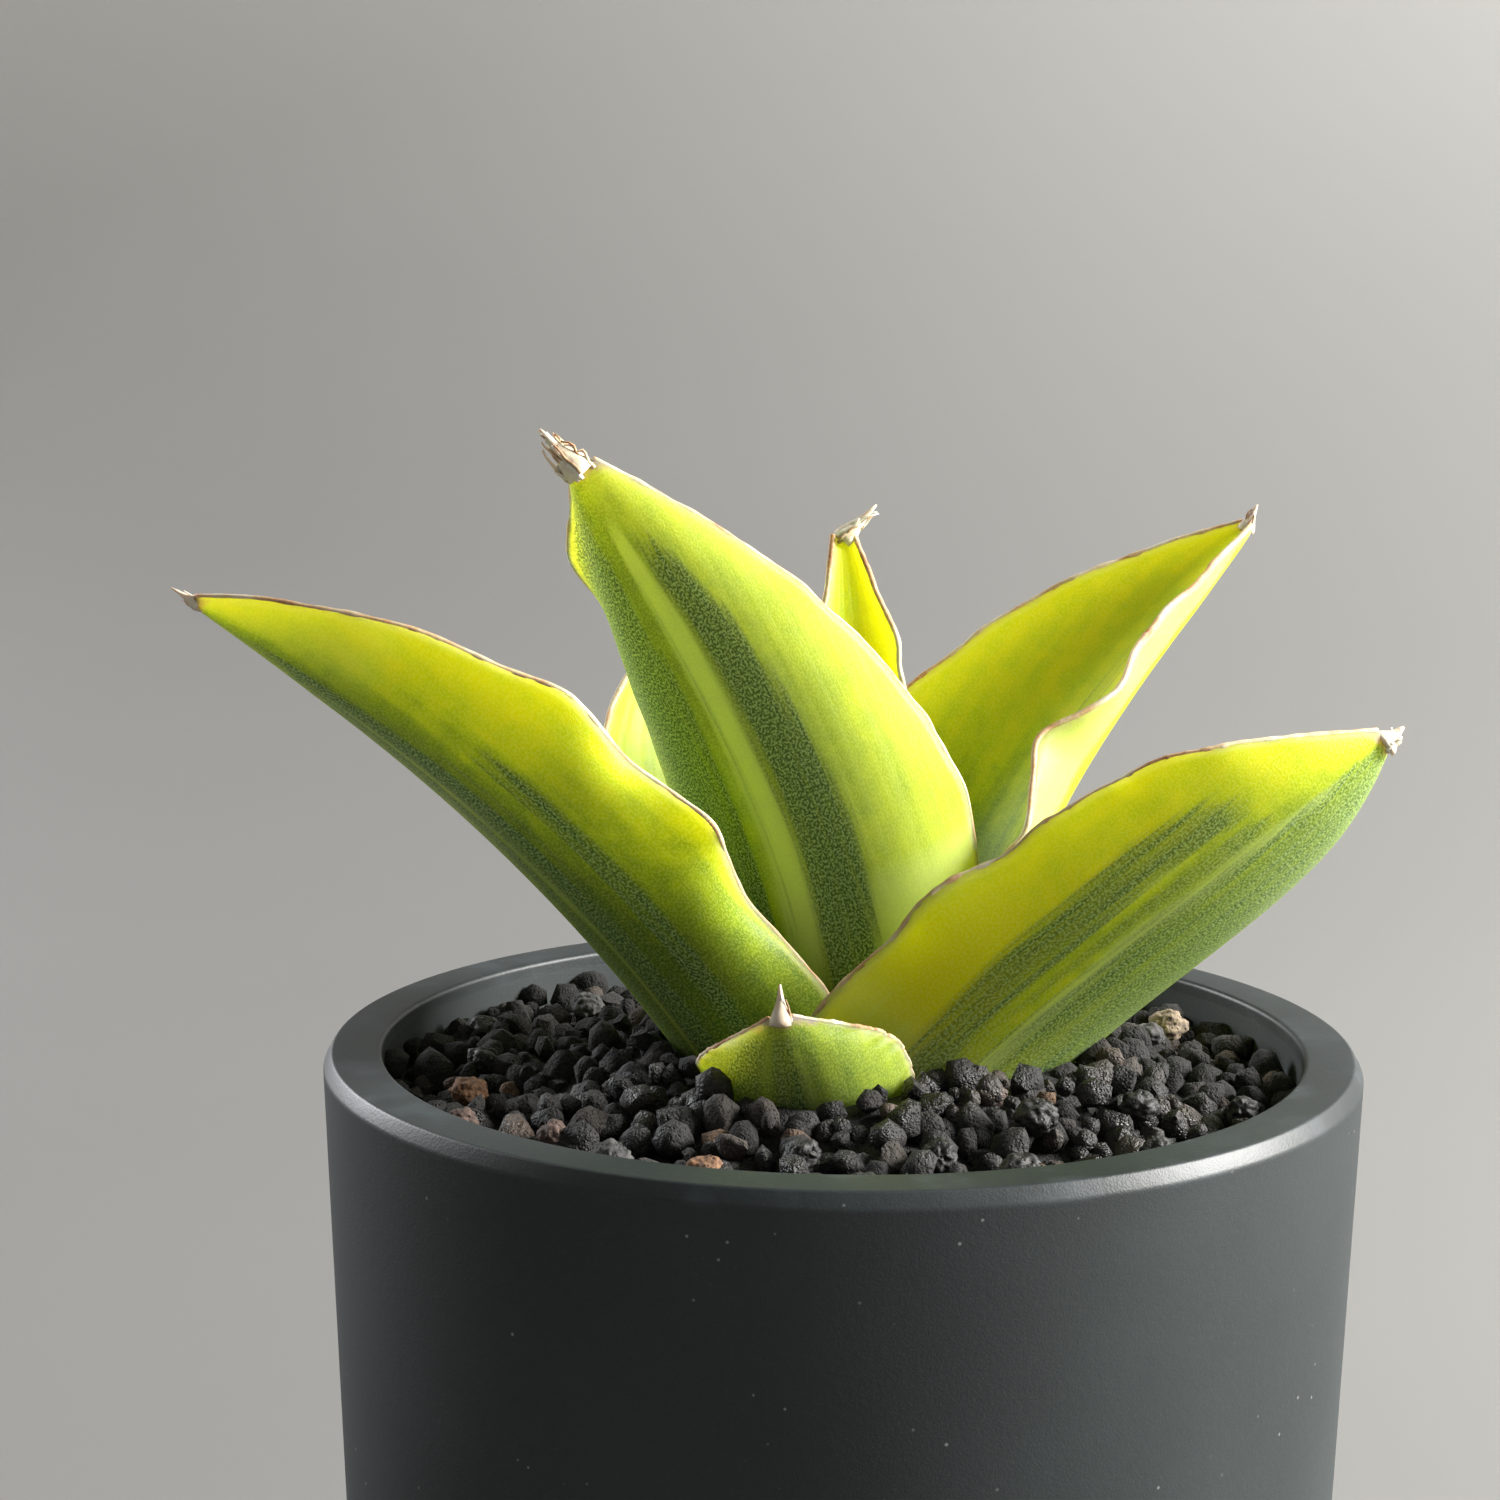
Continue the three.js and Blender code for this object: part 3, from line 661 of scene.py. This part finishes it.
LEAVES = {
    "leaf_spear": dict(
        path=[(2, 3, -9), (2, 4, 8), (2, 6, 18), (4, 8, 31.5)], faces=(-0.4, -1, 0.2),
        half_width=5, base_width=4, widest=0.3, fullness=2, curl=(80, 85, 60), thickness=2.2,
        spine=(0.7, 0, 3.6), spine_radius=0.5,
        waves=[],
        bands=[], pale=[], green=(0.2, 0.4, 0.2), foot=0.3, strands=3, seed=1,
    ),
    "leaf_back": dict(
        path=[(3, 8, -9), (0, 13, 14), (2.4, 13, 31), (0, 15, 47.8)], faces=(0.2, -1, 0.2),
        half_width=9.2, base_width=9, widest=0.34, fullness=1.5, curl=(75, 70, 60), thickness=2.8,
        spine=(3.6, 0, 3), spine_radius=1.2,
        waves=[(1, 0.8, 0.05, 0.5, 0.4)],
        bands=[(-0.15, -0.15, 0.12, 0, 0.8, 0.4), (-0.6, -0.6, 0.1, 0, 0.7, 0.3)], pale=[],
        green=(0.35, 0.2, -0.15), foot=0.5, strands=9, seed=2,
    ),
    "leaf_back_left": dict(
        path=[(-3, 6, -9), (-14, 12, 10), (-21, 19, 22), (-16, 26, 37)], faces=(0.5, -0.8, 0.4),
        half_width=15, base_width=10, widest=0.45, fullness=2, curl=(75, 60, 50), thickness=3,
        spine=(0, 1, 2.5), spine_radius=0.8,
        waves=[],
        bands=[(0.1, 0.1, 0.16, 0, 0.92, 0.7), (0.45, 0.4, 0.08, 0, 0.8, 0.5)],
        pale=[(-0.5, -0.5, 0.1, 0, 1, 0.8), (-0.75, -0.7, 0.06, 0, 1, 0.7), (0, 0, 2, 0, 1.2, 0.45)],
        green=(0.3, 0.5, 0.15), foot=0.2, strands=5, seed=3,
    ),
    "leaf_front": dict(
        path=[(-1, -2, -9), (-1, -8, 18), (-13, -11, 36), (-24.5, -15, 56)], faces=(0.5, 1, 0.3),
        half_width=18.6, base_width=12, widest=0.38, fullness=1.85, curl=(78, 62, 55), thickness=3.6,
        spine=(-3.5, -0.5, 3.5), spine_radius=1.6,
        waves=[(-1, 0.42, 0.07, 0.5, -0.4), (1, 0.88, 0.06, 2.8, 0.5)],
        bands=[
            (-0.20, -0.36, 0.13, 0, 0.93, 0.95), (0.16, 0.15, 0.035, 0, 0.8, 0.85),
            (0.03, -0.02, 0.022, 0.3, 0.9, 0.45), (0.40, 0.34, 0.15, 0.0, 0.96, 0.95),
            # Painted shade: the broad band at across 0.8 is partly the leaf's dark green and partly painted
            # shade on the flank that faces away from the window.
            (0.80, 0.74, 0.36, 0.0, 1.0, 1.15), (0.60, 0.55, 0.10, 0.1, 0.95, 1.1),
        ],
        pale=[
            (-0.01, -0.08, 0.08, 0, 0.98, 0.95), (0.27, 0.22, 0.04, 0.05, 0.9, 0.6),
            # Painted light: the second pale stripe here, at across -0.75 over the lower part, lightens the
            # base where the leaf at the right shades it.
            (-0.8, -0.8, 0.9, 0, 1.2, 0.42), (-0.75, -0.75, 0.5, 0, 0.42, 0.95),
        ],
        # The green of 1.3 at the margin where across is 1 is partly the leaf's dark green and partly painted
        # shade on that flank; the paler base, below 0, is painted light.
        green=(0.42, 0.65, 1.3), foot=-0.2, strands=46, seed=4,
    ),
    "leaf_back_right": dict(
        path=[(9, 4, -9), (9.5, 9, 16.5), (26.5, 17, 33.5), (41.8, 21, 48.2)], faces=(-0.85, -0.5, 0.5),
        half_width=20, base_width=14, widest=0.37, fullness=1.7, curl=(75, 70, 68), thickness=3.4,
        spine=(0.8, 0, 2.4), spine_radius=1,
        waves=[(1, 0.5, 0.045, -1.8, 1.2), (1, 0.62, 0.05, 1.6, -0.6), (1, 0.38, 0.045, 1.2, -1)],
        bands=[
            (0.22, 0.25, 0.2, 0, 0.9, 0.35), (-0.35, -0.3, 0.1, 0, 0.7, 0.1),
            # Painted shade: the last band, broad over the lower part, darkens the base where shade falls.
            (0.5, 0.45, 0.1, 0, 0.8, 0.2), (0.5, 0.45, 0.35, 0, 0.42, 0.5),
        ],
        pale=[(0.85, 0.85, 0.16, 0, 1, 0.9)],
        # Painted shade: the base is painted much greener, where shade falls.
        green=(0.12, 0.22, 0.05), foot=1.1, strands=5, seed=5,
    ),
    "leaf_left": dict(
        path=[(-7, -4, -9), (-18, -11, 12), (-36, -14, 31), (-60, -10, 43.2)], faces=(0.45, 0.6, 0.8),
        half_width=16, base_width=11.5, widest=0.52, fullness=2, curl=(75, 60, 45), thickness=3.4,
        spine=(-2.2, 0, 1.4), spine_radius=0.7,
        waves=[
            (-1, 0.41, 0.03, 2, -0.5), (-1, 0.51, 0.05, -2.2, 0),
            (-1, 0.61, 0.035, 1.2, 0), (-1, 0.29, 0.07, -2.8, 0),
        ],
        bands=[
            (-0.14, -0.02, 0.085, 0.02, 0.97, 0.85), (-0.42, -0.42, 0.07, 0, 0.69, 0.8),
            (0.12, 0.15, 0.08, 0, 0.95, 0.6), (-0.28, -0.2, 0.025, 0, 0.75, 0.35),
            (0.4, 0.4, 0.14, 0, 0.9, 0.5),
        ],
        pale=[(-0.02, 0.06, 0.03, 0, 0.9, 0.6), (-0.7, -0.7, 0.4, 0.8, 1.2, 0.4)],
        # Painted shade: the base is painted much greener, where the leaves in front and at the right shade
        # it.
        green=(0.15, 0.75, 0.65), foot=0.9, strands=4, seed=6,
    ),
    "leaf_right": dict(
        path=[(9, -8, -9), (22, -10, 8.5), (39, -15, 16.8), (49.3, -12, 31.4)], faces=(-0.4, 0.7, 0.6),
        half_width=18.4, base_width=18, widest=0.48, fullness=2.5, curl=(68, 66, 45), thickness=3.6,
        spine=(1.6, 0, 1.2), spine_radius=1.5,
        waves=[(1, 0.28, 0.07, 2.6, 0), (1, 0.1, 0.1, 2, 0), (1, 0.6, 0.1, -0.8, 0)],
        bands=[
            (0.48, 0.62, 0.10, 0.03, 0.8, 0.75), (0.33, 0.41, 0.035, 0, 0.84, 0.5),
            (0.14, 0.24, 0.11, 0, 1.2, 0.65), (-0.08, 0, 0.12, 0, 1.2, 0.75),
            (-0.45, -0.35, 0.3, 0, 1.3, 0.8), (-0.75, -0.65, 0.35, 0.4, 1.3, 0.7),
        ],
        pale=[
            (0.24, 0.3, 0.04, 0, 0.95, 0.8), (0.42, 0.5, 0.02, 0, 0.7, 0.4),
            # Painted light: the last pale stripe, broad at the base, lightens the shaded base.
            (0.03, 0.08, 0.02, 0.1, 0.9, 0.5), (0.6, 0.6, 0.6, 0, 0.22, 0.55),
        ],
        # Painted light: the base is painted paler, below 0, to lighten its shade.
        green=(0.65, 0.72, 0.12), foot=-0.3, strands=12, seed=7,
    ),
    "leaf_scale": dict(
        path=[(-3, -15, -9), (-3.5, -20, -3), (-5.5, -23, 2.5), (-6.2, -22, 7.4)], faces=(0.1, 0.9, 0.35),
        half_width=11.6, base_width=12.5, widest=0.3, fullness=3, curl=(62, 60, 50), thickness=2,
        spine=(0, 0, 3.2), spine_radius=1.1,
        waves=[(1, 0.7, 0.2, 0.8, 0)],
        bands=[
            (0.08, 0.02, 0.13, 0, 0.97, 0.7), (0.55, 0.4, 0.2, 0, 0.97, 0.75),
            (-0.35, -0.3, 0.05, 0, 0.7, 0.3),
        ],
        pale=[(-0.12, -0.1, 0.04, 0, 0.9, 0.5), (0.24, 0.2, 0.04, 0, 0.9, 0.4), (0, 0, 2, 0, 1.2, 0.3)],
        green=(0.7, 0.95, 0.95), foot=0.1, strands=6, seed=8,
    ),
}


def ease(t):
    t = min(1, max(0, t))
    return t * t * (3 - 2 * t)


def along(stations, share):
    """A value that runs smoothly through three stations: the base, the middle and the tip."""
    base, middle, tip = stations
    if share < 0.5:
        return base + (middle - base) * ease(2 * share)
    return middle + (tip - middle) * ease(2 * share - 1)


def curve_point(path, t):
    a, b, c, d = (Vector(p) for p in path)
    return (1 - t) ** 3 * a + 3 * t * (1 - t) ** 2 * b + 3 * t * t * (1 - t) * c + t**3 * d


def curve_tangent(path, t):
    a, b, c, d = (Vector(p) for p in path)
    return (3 * (1 - t) ** 2 * (b - a) + 6 * t * (1 - t) * (c - b) + 3 * t * t * (d - c)).normalized()


def half_width_at(leaf, share):
    if share < leaf["widest"]:
        rise = math.sin(share / leaf["widest"] * math.pi / 2)
        return leaf["base_width"] + (leaf["half_width"] - leaf["base_width"]) * rise
    rest = (share - leaf["widest"]) / (1 - leaf["widest"])
    full = 1 - rest ** leaf["fullness"]
    return leaf["half_width"] * full * (1 - LEAF_TAPER * rest) + leaf["spine_radius"] * rest


def thickness_at(leaf, share):
    to_tip = min(1, math.sqrt((1 - share) / TIP_SHARE) + TIP_THICKNESS)
    return leaf["thickness"] * (1 - LEAF_THINNING * share) * to_tip


class Section:
    """The leaf's cross-section at one place along it: a crescent on its own axes."""

    def __init__(self, leaf, share):
        self.leaf = leaf
        self.share = share
        self.middle = curve_point(leaf["path"], share)
        self.tangent = curve_tangent(leaf["path"], share)
        facing = Vector(leaf["faces"])
        self.open = (facing - facing.dot(self.tangent) * self.tangent).normalized()
        self.side = self.tangent.cross(self.open)
        self.width = half_width_at(leaf, share)
        self.curl = math.radians(along(leaf["curl"], share))
        self.thickness = thickness_at(leaf, share)

    def point(self, across, face):
        """A point on the leaf: across runs from margin to margin, face is 1 inside and -1 outside."""
        radius = self.width / self.curl
        turn = across * self.curl
        half = (LEAF_EDGE + (self.thickness - LEAF_EDGE) * (1 - abs(across) ** EDGE_POWER)) / 2
        level = face * half
        x = (radius - level) * math.sin(turn)
        y = radius * (1 - math.cos(turn)) + level * math.cos(turn)
        for side, where, length, outwards, inwards in self.leaf["waves"]:
            near = math.exp(-(((self.share - where) / length) ** 2))
            near *= max(0, side * across) ** WAVE_POWER
            x += side * outwards * near
            y += inwards * near
        ripple = abs(across) ** 5 * ease(self.share * 5) * ease((1 - self.share) * 6)
        side = math.copysign(3.0, across)
        x += RIPPLE_SIDEWAYS * ripple * noise.noise(Vector((self.share * 16, side, self.leaf["seed"])))
        y += RIPPLE_INWARDS * ripple * noise.noise(Vector((self.share * 11, side, 20 + self.leaf["seed"])))
        grooves = noise.noise(Vector((across * 9, self.share * 1.5, self.leaf["seed"])))
        y += face * GROOVE_DEPTH * grooves * (1 - across * across) * ease((1 - self.share) * 8)
        return (self.middle + self.side * x + self.open * y + Vector((0, 0, rim_height / MM))) * MM


def stripe_strength(stripes, across, share, seed):
    """How strongly the nearest stripe shows at a place on the blade, with soft, wandering edges."""
    strength = 0
    for base, tip, half, start, stop, full in stripes:
        centre = base + (tip - base) * share
        sway = 0.02 * noise.noise(Vector((share * 6, base * 9, seed)))
        spread = abs(across - centre - sway) / half
        fade = ease((share - start) / STRIPE_START + 1) * ease((stop - share) / STRIPE_END)
        strength = max(strength, full * fade * ease(1.6 - spread))
    return strength


def blade_mesh(name, leaf):
    """The blade as rings of a crescent section, with what its finish needs stored on its points."""
    blade = bmesh.new()
    uv_layer = blade.loops.layers.uv.new("UVMap")
    band_layer = blade.verts.layers.float.new("band")
    pale_layer = blade.verts.layers.float.new("pale")
    green_layer = blade.verts.layers.float.new("green")
    margin_layer = blade.verts.layers.float.new("margin")
    tip_layer = blade.verts.layers.float.new("tip")
    stops = [curve_point(leaf["path"], i / 40) for i in range(41)]
    length = sum((after - before).length for before, after in zip(stops, stops[1:]))
    spots = [(-1 + 2 * i / BLADE_FACES, -1) for i in range(BLADE_FACES + 1)]
    spots += [(1 - 2 * i / BLADE_FACES, 1) for i in range(BLADE_FACES + 1)]
    rings = []
    places = {}
    for step in range(BLADE_RINGS + 1):
        share = step / BLADE_RINGS
        section = Section(leaf, share)
        ring = []
        for across, face in spots:
            vertex = blade.verts.new(section.point(across, face))
            vertex[band_layer] = stripe_strength(leaf["bands"], across, share, leaf["seed"])
            vertex[pale_layer] = stripe_strength(leaf["pale"], across, share, leaf["seed"] + 5)
            low, middle, high = leaf["green"]
            edge_green = low if across < 0 else high
            vertex[green_layer] = middle + (edge_green - middle) * ease(abs(across) * 1.25)
            # Painted shade at the base: the base is made greener, as shade, by the leaf's base value; a value
            # below 0 makes it paler instead, as painted light.
            vertex[green_layer] += leaf["foot"] * (1 - ease(share * 1.6))
            vertex[margin_layer] = (1 - abs(across)) * section.width
            vertex[tip_layer] = (1 - share) * length
            places[vertex] = (across * section.width / UV_LENGTH, share * length / UV_LENGTH)
            ring.append(vertex)
        rings.append(ring)
    for low, high in zip(rings, rings[1:]):
        for i in range(len(spots)):
            j = (i + 1) % len(spots)
            blade.faces.new((low[i], low[j], high[j], high[i]))
    for ring in (rings[0], rings[-1]):
        for i in range(BLADE_FACES):
            blade.faces.new((ring[i], ring[i + 1], ring[-2 - i], ring[-1 - i]))
    for face in blade.faces:
        for loop in face.loops:
            loop[uv_layer].uv = places[loop.vert]
    bmesh.ops.recalc_face_normals(blade, faces=blade.faces)
    mesh = bpy.data.meshes.new(name)
    blade.to_mesh(mesh)
    blade.free()
    return mesh


def tube_into(shell, points, radii, sides, tone_layer, tone):
    """Adds a closed tube through the points to a bmesh, with a radius and a tone for each of them."""
    rings = []
    across = None
    for i, point in enumerate(points):
        ahead = points[min(i + 1, len(points) - 1)] - points[max(i - 1, 0)]
        ahead.normalize()
        across = ahead.orthogonal() if across is None else across - across.dot(ahead) * ahead
        across.normalize()
        other = ahead.cross(across)
        ring = []
        for k in range(sides):
            angle = 2 * math.pi * k / sides
            spot = point + (across * math.cos(angle) + other * math.sin(angle)) * radii[i]
            vertex = shell.verts.new(spot)
            vertex[tone_layer] = tone
            ring.append(vertex)
        rings.append(ring)
    for low, high in zip(rings, rings[1:]):
        for k in range(sides):
            shell.faces.new((low[k], low[(k + 1) % sides], high[(k + 1) % sides], high[k]))
    shell.faces.new(reversed(rings[0]))
    shell.faces.new(rings[-1])


def margin_mesh(name, leaf):
    """The horny edge down both sides of the blade: a thin bead, thicker and thinner in places."""
    shell = bmesh.new()
    tone_layer = shell.verts.layers.float.new("tone")
    for side in (-1, 1):
        points, radii = [], []
        for step in range(MARGIN_RINGS + 1):
            share = step / MARGIN_RINGS
            section = Section(leaf, share)
            points.append((section.point(side, 1) + section.point(side, -1)) / 2)
            rough = noise.noise(Vector((share * 45, 5 * side, leaf["seed"])))
            radii.append((MARGIN_RADIUS + MARGIN_ROUGHNESS * rough) * MM)
        tube_into(shell, points, radii, 8, tone_layer, 0.5)
    mesh = bpy.data.meshes.new(name)
    shell.to_mesh(mesh)
    shell.free()
    return mesh


def tip_mesh(name, leaf, draw):
    """The dried point: a shrivelled core and loose fibres that split off it."""
    shell = bmesh.new()
    tone_layer = shell.verts.layers.float.new("tone")
    end = Section(leaf, 1)
    lift = Vector((0, 0, rim_height / MM))
    start = end.middle + lift - end.tangent * 0.6
    spine = Vector(leaf["spine"])
    radius = leaf["spine_radius"]
    shape = [(0, 0.95), (0.15, 0.9), (0.3, 0.7), (0.45, 0.48), (0.6, 0.32), (0.8, 0.2), (0.97, 0.08)]
    core = [(start + (spine + end.tangent * 0.6) * reach) * MM for reach, _ in shape]
    tube_into(shell, core, [radius * thick * MM for _, thick in shape], 10, tone_layer, 0.4)
    for _ in range(leaf["strands"]):
        angle = draw.uniform(0, 2 * math.pi)
        out = (end.side * math.cos(angle) + end.open * math.sin(angle)).normalized()
        reach = draw.uniform(0.45, 0.95)
        bow = draw.uniform(-0.35, 0.5)
        root = start + out * radius * draw.uniform(0.4, 0.95) + end.tangent * draw.uniform(-0.5, 0.3)
        fibre, radii = [], []
        for step in range(FIBRE_STEPS + 1):
            t = step / FIBRE_STEPS
            drift = [noise.noise(Vector((t * 2.2, angle * 3, leaf["seed"] + 17 * axis))) for axis in range(3)]
            wander = Vector(drift) * radius * 0.6 * t
            spread = out * radius * (0.5 * bow * math.sin(t * math.pi) - 0.35 * t)
            fibre.append((root + spine * reach * t + spread + wander) * MM)
            radii.append((0.20 - 0.13 * t) * radius**0.5 * MM)
        tube_into(shell, fibre, radii, 5, tone_layer, draw.random())
    bmesh.ops.recalc_face_normals(shell, faces=shell.faces)
    mesh = bpy.data.meshes.new(name)
    shell.to_mesh(mesh)
    shell.free()
    return mesh


def leaf_finish():
    """Waxy, variegated skin. Light soaks into the flesh, so thin, backlit parts glow yellow."""
    skin = Finish(
        "variegated_leaf",
        subsurface_weight=0.9,
        subsurface_scale=6.0 * MM,
        subsurface_radius=(1.0, 0.92, 0.06),
        specular_ior_level=0.2,
    )
    uv = skin.node("ShaderNodeTexCoord", output="UV")
    streaks = skin.speckle(1.0, 3, where=uv, stretch=(60, 1.5, 1))
    broad_streaks = skin.speckle(1.0, 2, where=uv, stretch=(19, 0.8, 1))
    hairlines = skin.speckle(1.0, 2, where=uv, stretch=(150, 2.5, 1))
    grain = skin.speckle(1.0, 2, where=uv, stretch=(215, 145, 1))
    cloud = skin.speckle(130, 3)
    mottle = skin.speckle(520, 3)
    green = skin.attribute("green") + (broad_streaks - 0.5) * 0.7
    green = green + (cloud - 0.5) * 0.3 + (mottle - 0.5) * 0.5
    field = skin.ramp(
        green,
        (0.0, (0.60, 0.60, 0.001)),
        (0.3, (0.45, 0.54, 0.004)),
        (0.6, (0.26, 0.37, 0.010)),
        (1.0, (0.10, 0.19, 0.022)),
    )
    pale = skin.attribute("pale") * (0.6 + 0.8 * streaks)
    field = skin.mix(pale.step(0.1, 0.9) * 0.85, field, (0.55, 0.67, 0.19))
    edge = skin.attribute("band")
    band = (edge + (streaks - 0.5) * 1.1 + (hairlines - 0.5) * 0.8 + (grain - 0.5) * 0.3).step(0.12, 1.0)
    band = band * edge.step(0.02, 0.35)
    colour = skin.mix(band * 0.94, field, (0.058, 0.118, 0.032))
    flecks = grain.step(0.43, 0.60)
    fleck_colour = skin.mix(band, (0.66, 0.74, 0.16), (0.55, 0.73, 0.28))
    colour = skin.mix(flecks * (0.28 + 0.30 * band), colour, fleck_colour)
    margin = skin.attribute("margin")
    colour = skin.mix(margin.step(1.0, 0.2) * 0.6, colour, (0.66, 0.68, 0.20))
    dried = (skin.attribute("tip") + 2.2 * (skin.speckle(700, 3) - 0.5)).step(1.5, 0.5)
    colour = skin.mix(dried, colour, (0.52, 0.38, 0.20))
    skin.feed(base_color=colour, roughness=0.42 + 0.15 * grain + 0.25 * dried)
    skin.relief(grain * 0.5 + streaks * 0.5, 0.05 * MM)
    return skin.material


def margin_finish():
    """Dry, horny edge: straw to orange-brown, with pale frayed stretches."""
    horn = Finish("horny_margin", subsurface_weight=0.2, subsurface_scale=0.6 * MM)
    stretch = horn.speckle(260, 4)
    fine = horn.speckle(2400, 3)
    colour = horn.ramp(
        stretch,
        (0.28, (0.40, 0.16, 0.05)),
        (0.42, (0.62, 0.38, 0.18)),
        (0.55, (0.68, 0.54, 0.32)),
        (0.7, (0.78, 0.72, 0.54)),
    )
    colour = horn.mix(fine.step(0.4, 0.8) * 0.4, colour, (0.8, 0.72, 0.55))
    horn.feed(base_color=colour, roughness=0.5 + 0.3 * fine)
    horn.relief(fine, 0.08 * MM)
    return horn.material


def dried_finish():
    """Dead, papery fibre: cream with grey-brown and dark brown strands."""
    fibre = Finish("dried_point", subsurface_weight=0.15, subsurface_scale=0.8 * MM)
    patches = fibre.speckle(900, 4)
    shade = fibre.attribute("tone") * 0.6 + patches * 0.6
    colour = fibre.ramp(
        shade,
        (0.2, (0.20, 0.10, 0.05)),
        (0.36, (0.52, 0.36, 0.21)),
        (0.5, (0.74, 0.62, 0.46)),
        (0.75, (0.86, 0.80, 0.68)),
    )
    fibre.feed(base_color=colour, roughness=0.75 + 0.2 * patches)
    fibre.relief(patches, 0.12 * MM)
    return fibre.material


leaf_skin = leaf_finish()
horn = margin_finish()
dried = dried_finish()


def settle(piece, material, slot):
    piece.data.materials.clear()
    piece.data.materials.append(material)
    smooth(piece)
    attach(piece, "root")


def drop_pierced(grains, blades):
    """Takes away each grain whose middle lies in a blade or too near its skin, so that none of
    them comes out on the blade's far side."""
    tones = [0.0] * len(grains.data.vertices)
    grains.data.attributes["tone"].data.foreach_get("value", tones)
    members = {}
    for vertex, tone in zip(grains.data.vertices, tones):
        members.setdefault(tone, []).append(vertex.co)
    middles = {tone: sum(places, Vector()) / len(places) for tone, places in members.items()}
    pierced = set()
    for blade in blades:
        corners = [vertex.co for vertex in blade.data.vertices]
        skin = BVHTree.FromPolygons(corners, [face.vertices for face in blade.data.polygons])
        for tone, middle in middles.items():
            place, normal, _, gap = skin.find_nearest(middle)
            if (middle - place).dot(normal) < 0 or gap < GRAIN_CLEARANCE:
                pierced.add(tone)
    kept = bmesh.new()
    kept.from_mesh(grains.data)
    kept.verts.ensure_lookup_table()
    gone = [kept.verts[index] for index, tone in enumerate(tones) if tone in pierced]
    bmesh.ops.delete(kept, geom=gone, context="VERTS")
    kept.to_mesh(grains.data)
    kept.free()


blades = []
for name, leaf in LEAVES.items():
    blade = link(name + "_blade", blade_mesh(name + "_blade", leaf))
    blades.append(blade)
    settle(blade, leaf_skin, "leaf")
    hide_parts(name)
    margin = link(name + "_margin", margin_mesh(name + "_margin", leaf))
    settle(margin, horn, "leaf_margin")
    tip = link(name + "_dried_tip", tip_mesh(name + "_dried_tip", leaf, random.Random(leaf["seed"])))
    settle(tip, dried, "leaf_tip")
drop_pierced(grains, blades)

# ---------- Loose stones ----------
# Bigger pieces picked out of the grit, lying on top of it: black and grey lava, with brown, rust,
# tan and cream ones among them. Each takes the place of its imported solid.

STONE_TONES = {
    "black": ((0.006, 0.006, 0.006), (0.024, 0.023, 0.022), 0.62),
    "grey": ((0.02, 0.02, 0.021), (0.085, 0.082, 0.08), 0.85),
    "brown": ((0.035, 0.022, 0.018), (0.13, 0.085, 0.068), 0.85),
    "rust": ((0.07, 0.032, 0.018), (0.27, 0.145, 0.075), 0.85),
    "tan": ((0.10, 0.075, 0.055), (0.34, 0.26, 0.18), 0.85),
    "cream": ((0.34, 0.25, 0.13), (0.74, 0.62, 0.42), 0.7),
}


def stone_finish(kind):
    dark, light, roughness = STONE_TONES[kind]
    stone = Finish(kind + "_stone")
    grain = stone.speckle(1500, 5)
    pits = stone.cells(1900)
    colour = stone.ramp(grain, (0.32, dark), (0.66, light))
    colour = stone.mix(pits.step(0.26, 0.08) * 0.6, colour, tuple(0.35 * c for c in dark))
    stone.feed(base_color=colour, roughness=roughness + 0.2 * (grain - 0.5))
    stone.relief(grain * 0.6 + pits.step(0.04, 0.35) * 0.4, 0.28 * MM)
    return stone.material


def stone_mesh(name, low, high, seed):
    """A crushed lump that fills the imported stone's box: blunt corners, flat breaks and a pitted skin."""
    shell = bmesh.new()
    bmesh.ops.create_icosphere(shell, subdivisions=5, radius=1)
    shift = Vector((seed * 3.1, seed * 1.7, seed * 0.9))
    for vertex in shell.verts:
        here = vertex.co.copy()
        distances, _ = noise.voronoi(here * 0.95 + shift, distance_metric="CHEBYCHEV")
        size = 1.15 - 0.55 * distances[0] + 0.12 * noise.noise(here * 3 + shift)
        size += 0.018 * noise.fractal(here * 8 + shift, 0.9, 2.1, 3)
        vertex.co = here * size
    corners = [Vector(map(pick, zip(*(v.co for v in shell.verts)))) for pick in (min, max)]
    spread = corners[1] - corners[0]
    for vertex in shell.verts:
        share = [(vertex.co[i] - corners[0][i]) / spread[i] for i in range(3)]
        vertex.co = Vector(low[i] + (high[i] - low[i]) * share[i] for i in range(3))
    mesh = bpy.data.meshes.new(name)
    shell.to_mesh(mesh)
    shell.free()
    return mesh


stone_skins = {kind: stone_finish(kind) for kind in STONE_TONES}
stone_nodes = [part["node"] for part in frame["record"]["subparts"] if part["node"].startswith("stone_")]
for index, node in enumerate(sorted(stone_nodes)):
    kind = node.split("_")[1]
    stone = link("loose_" + node, stone_mesh("loose_" + node, *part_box(node), index + 1))
    settle(stone, stone_skins[kind], "stone_" + kind)
    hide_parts(node)
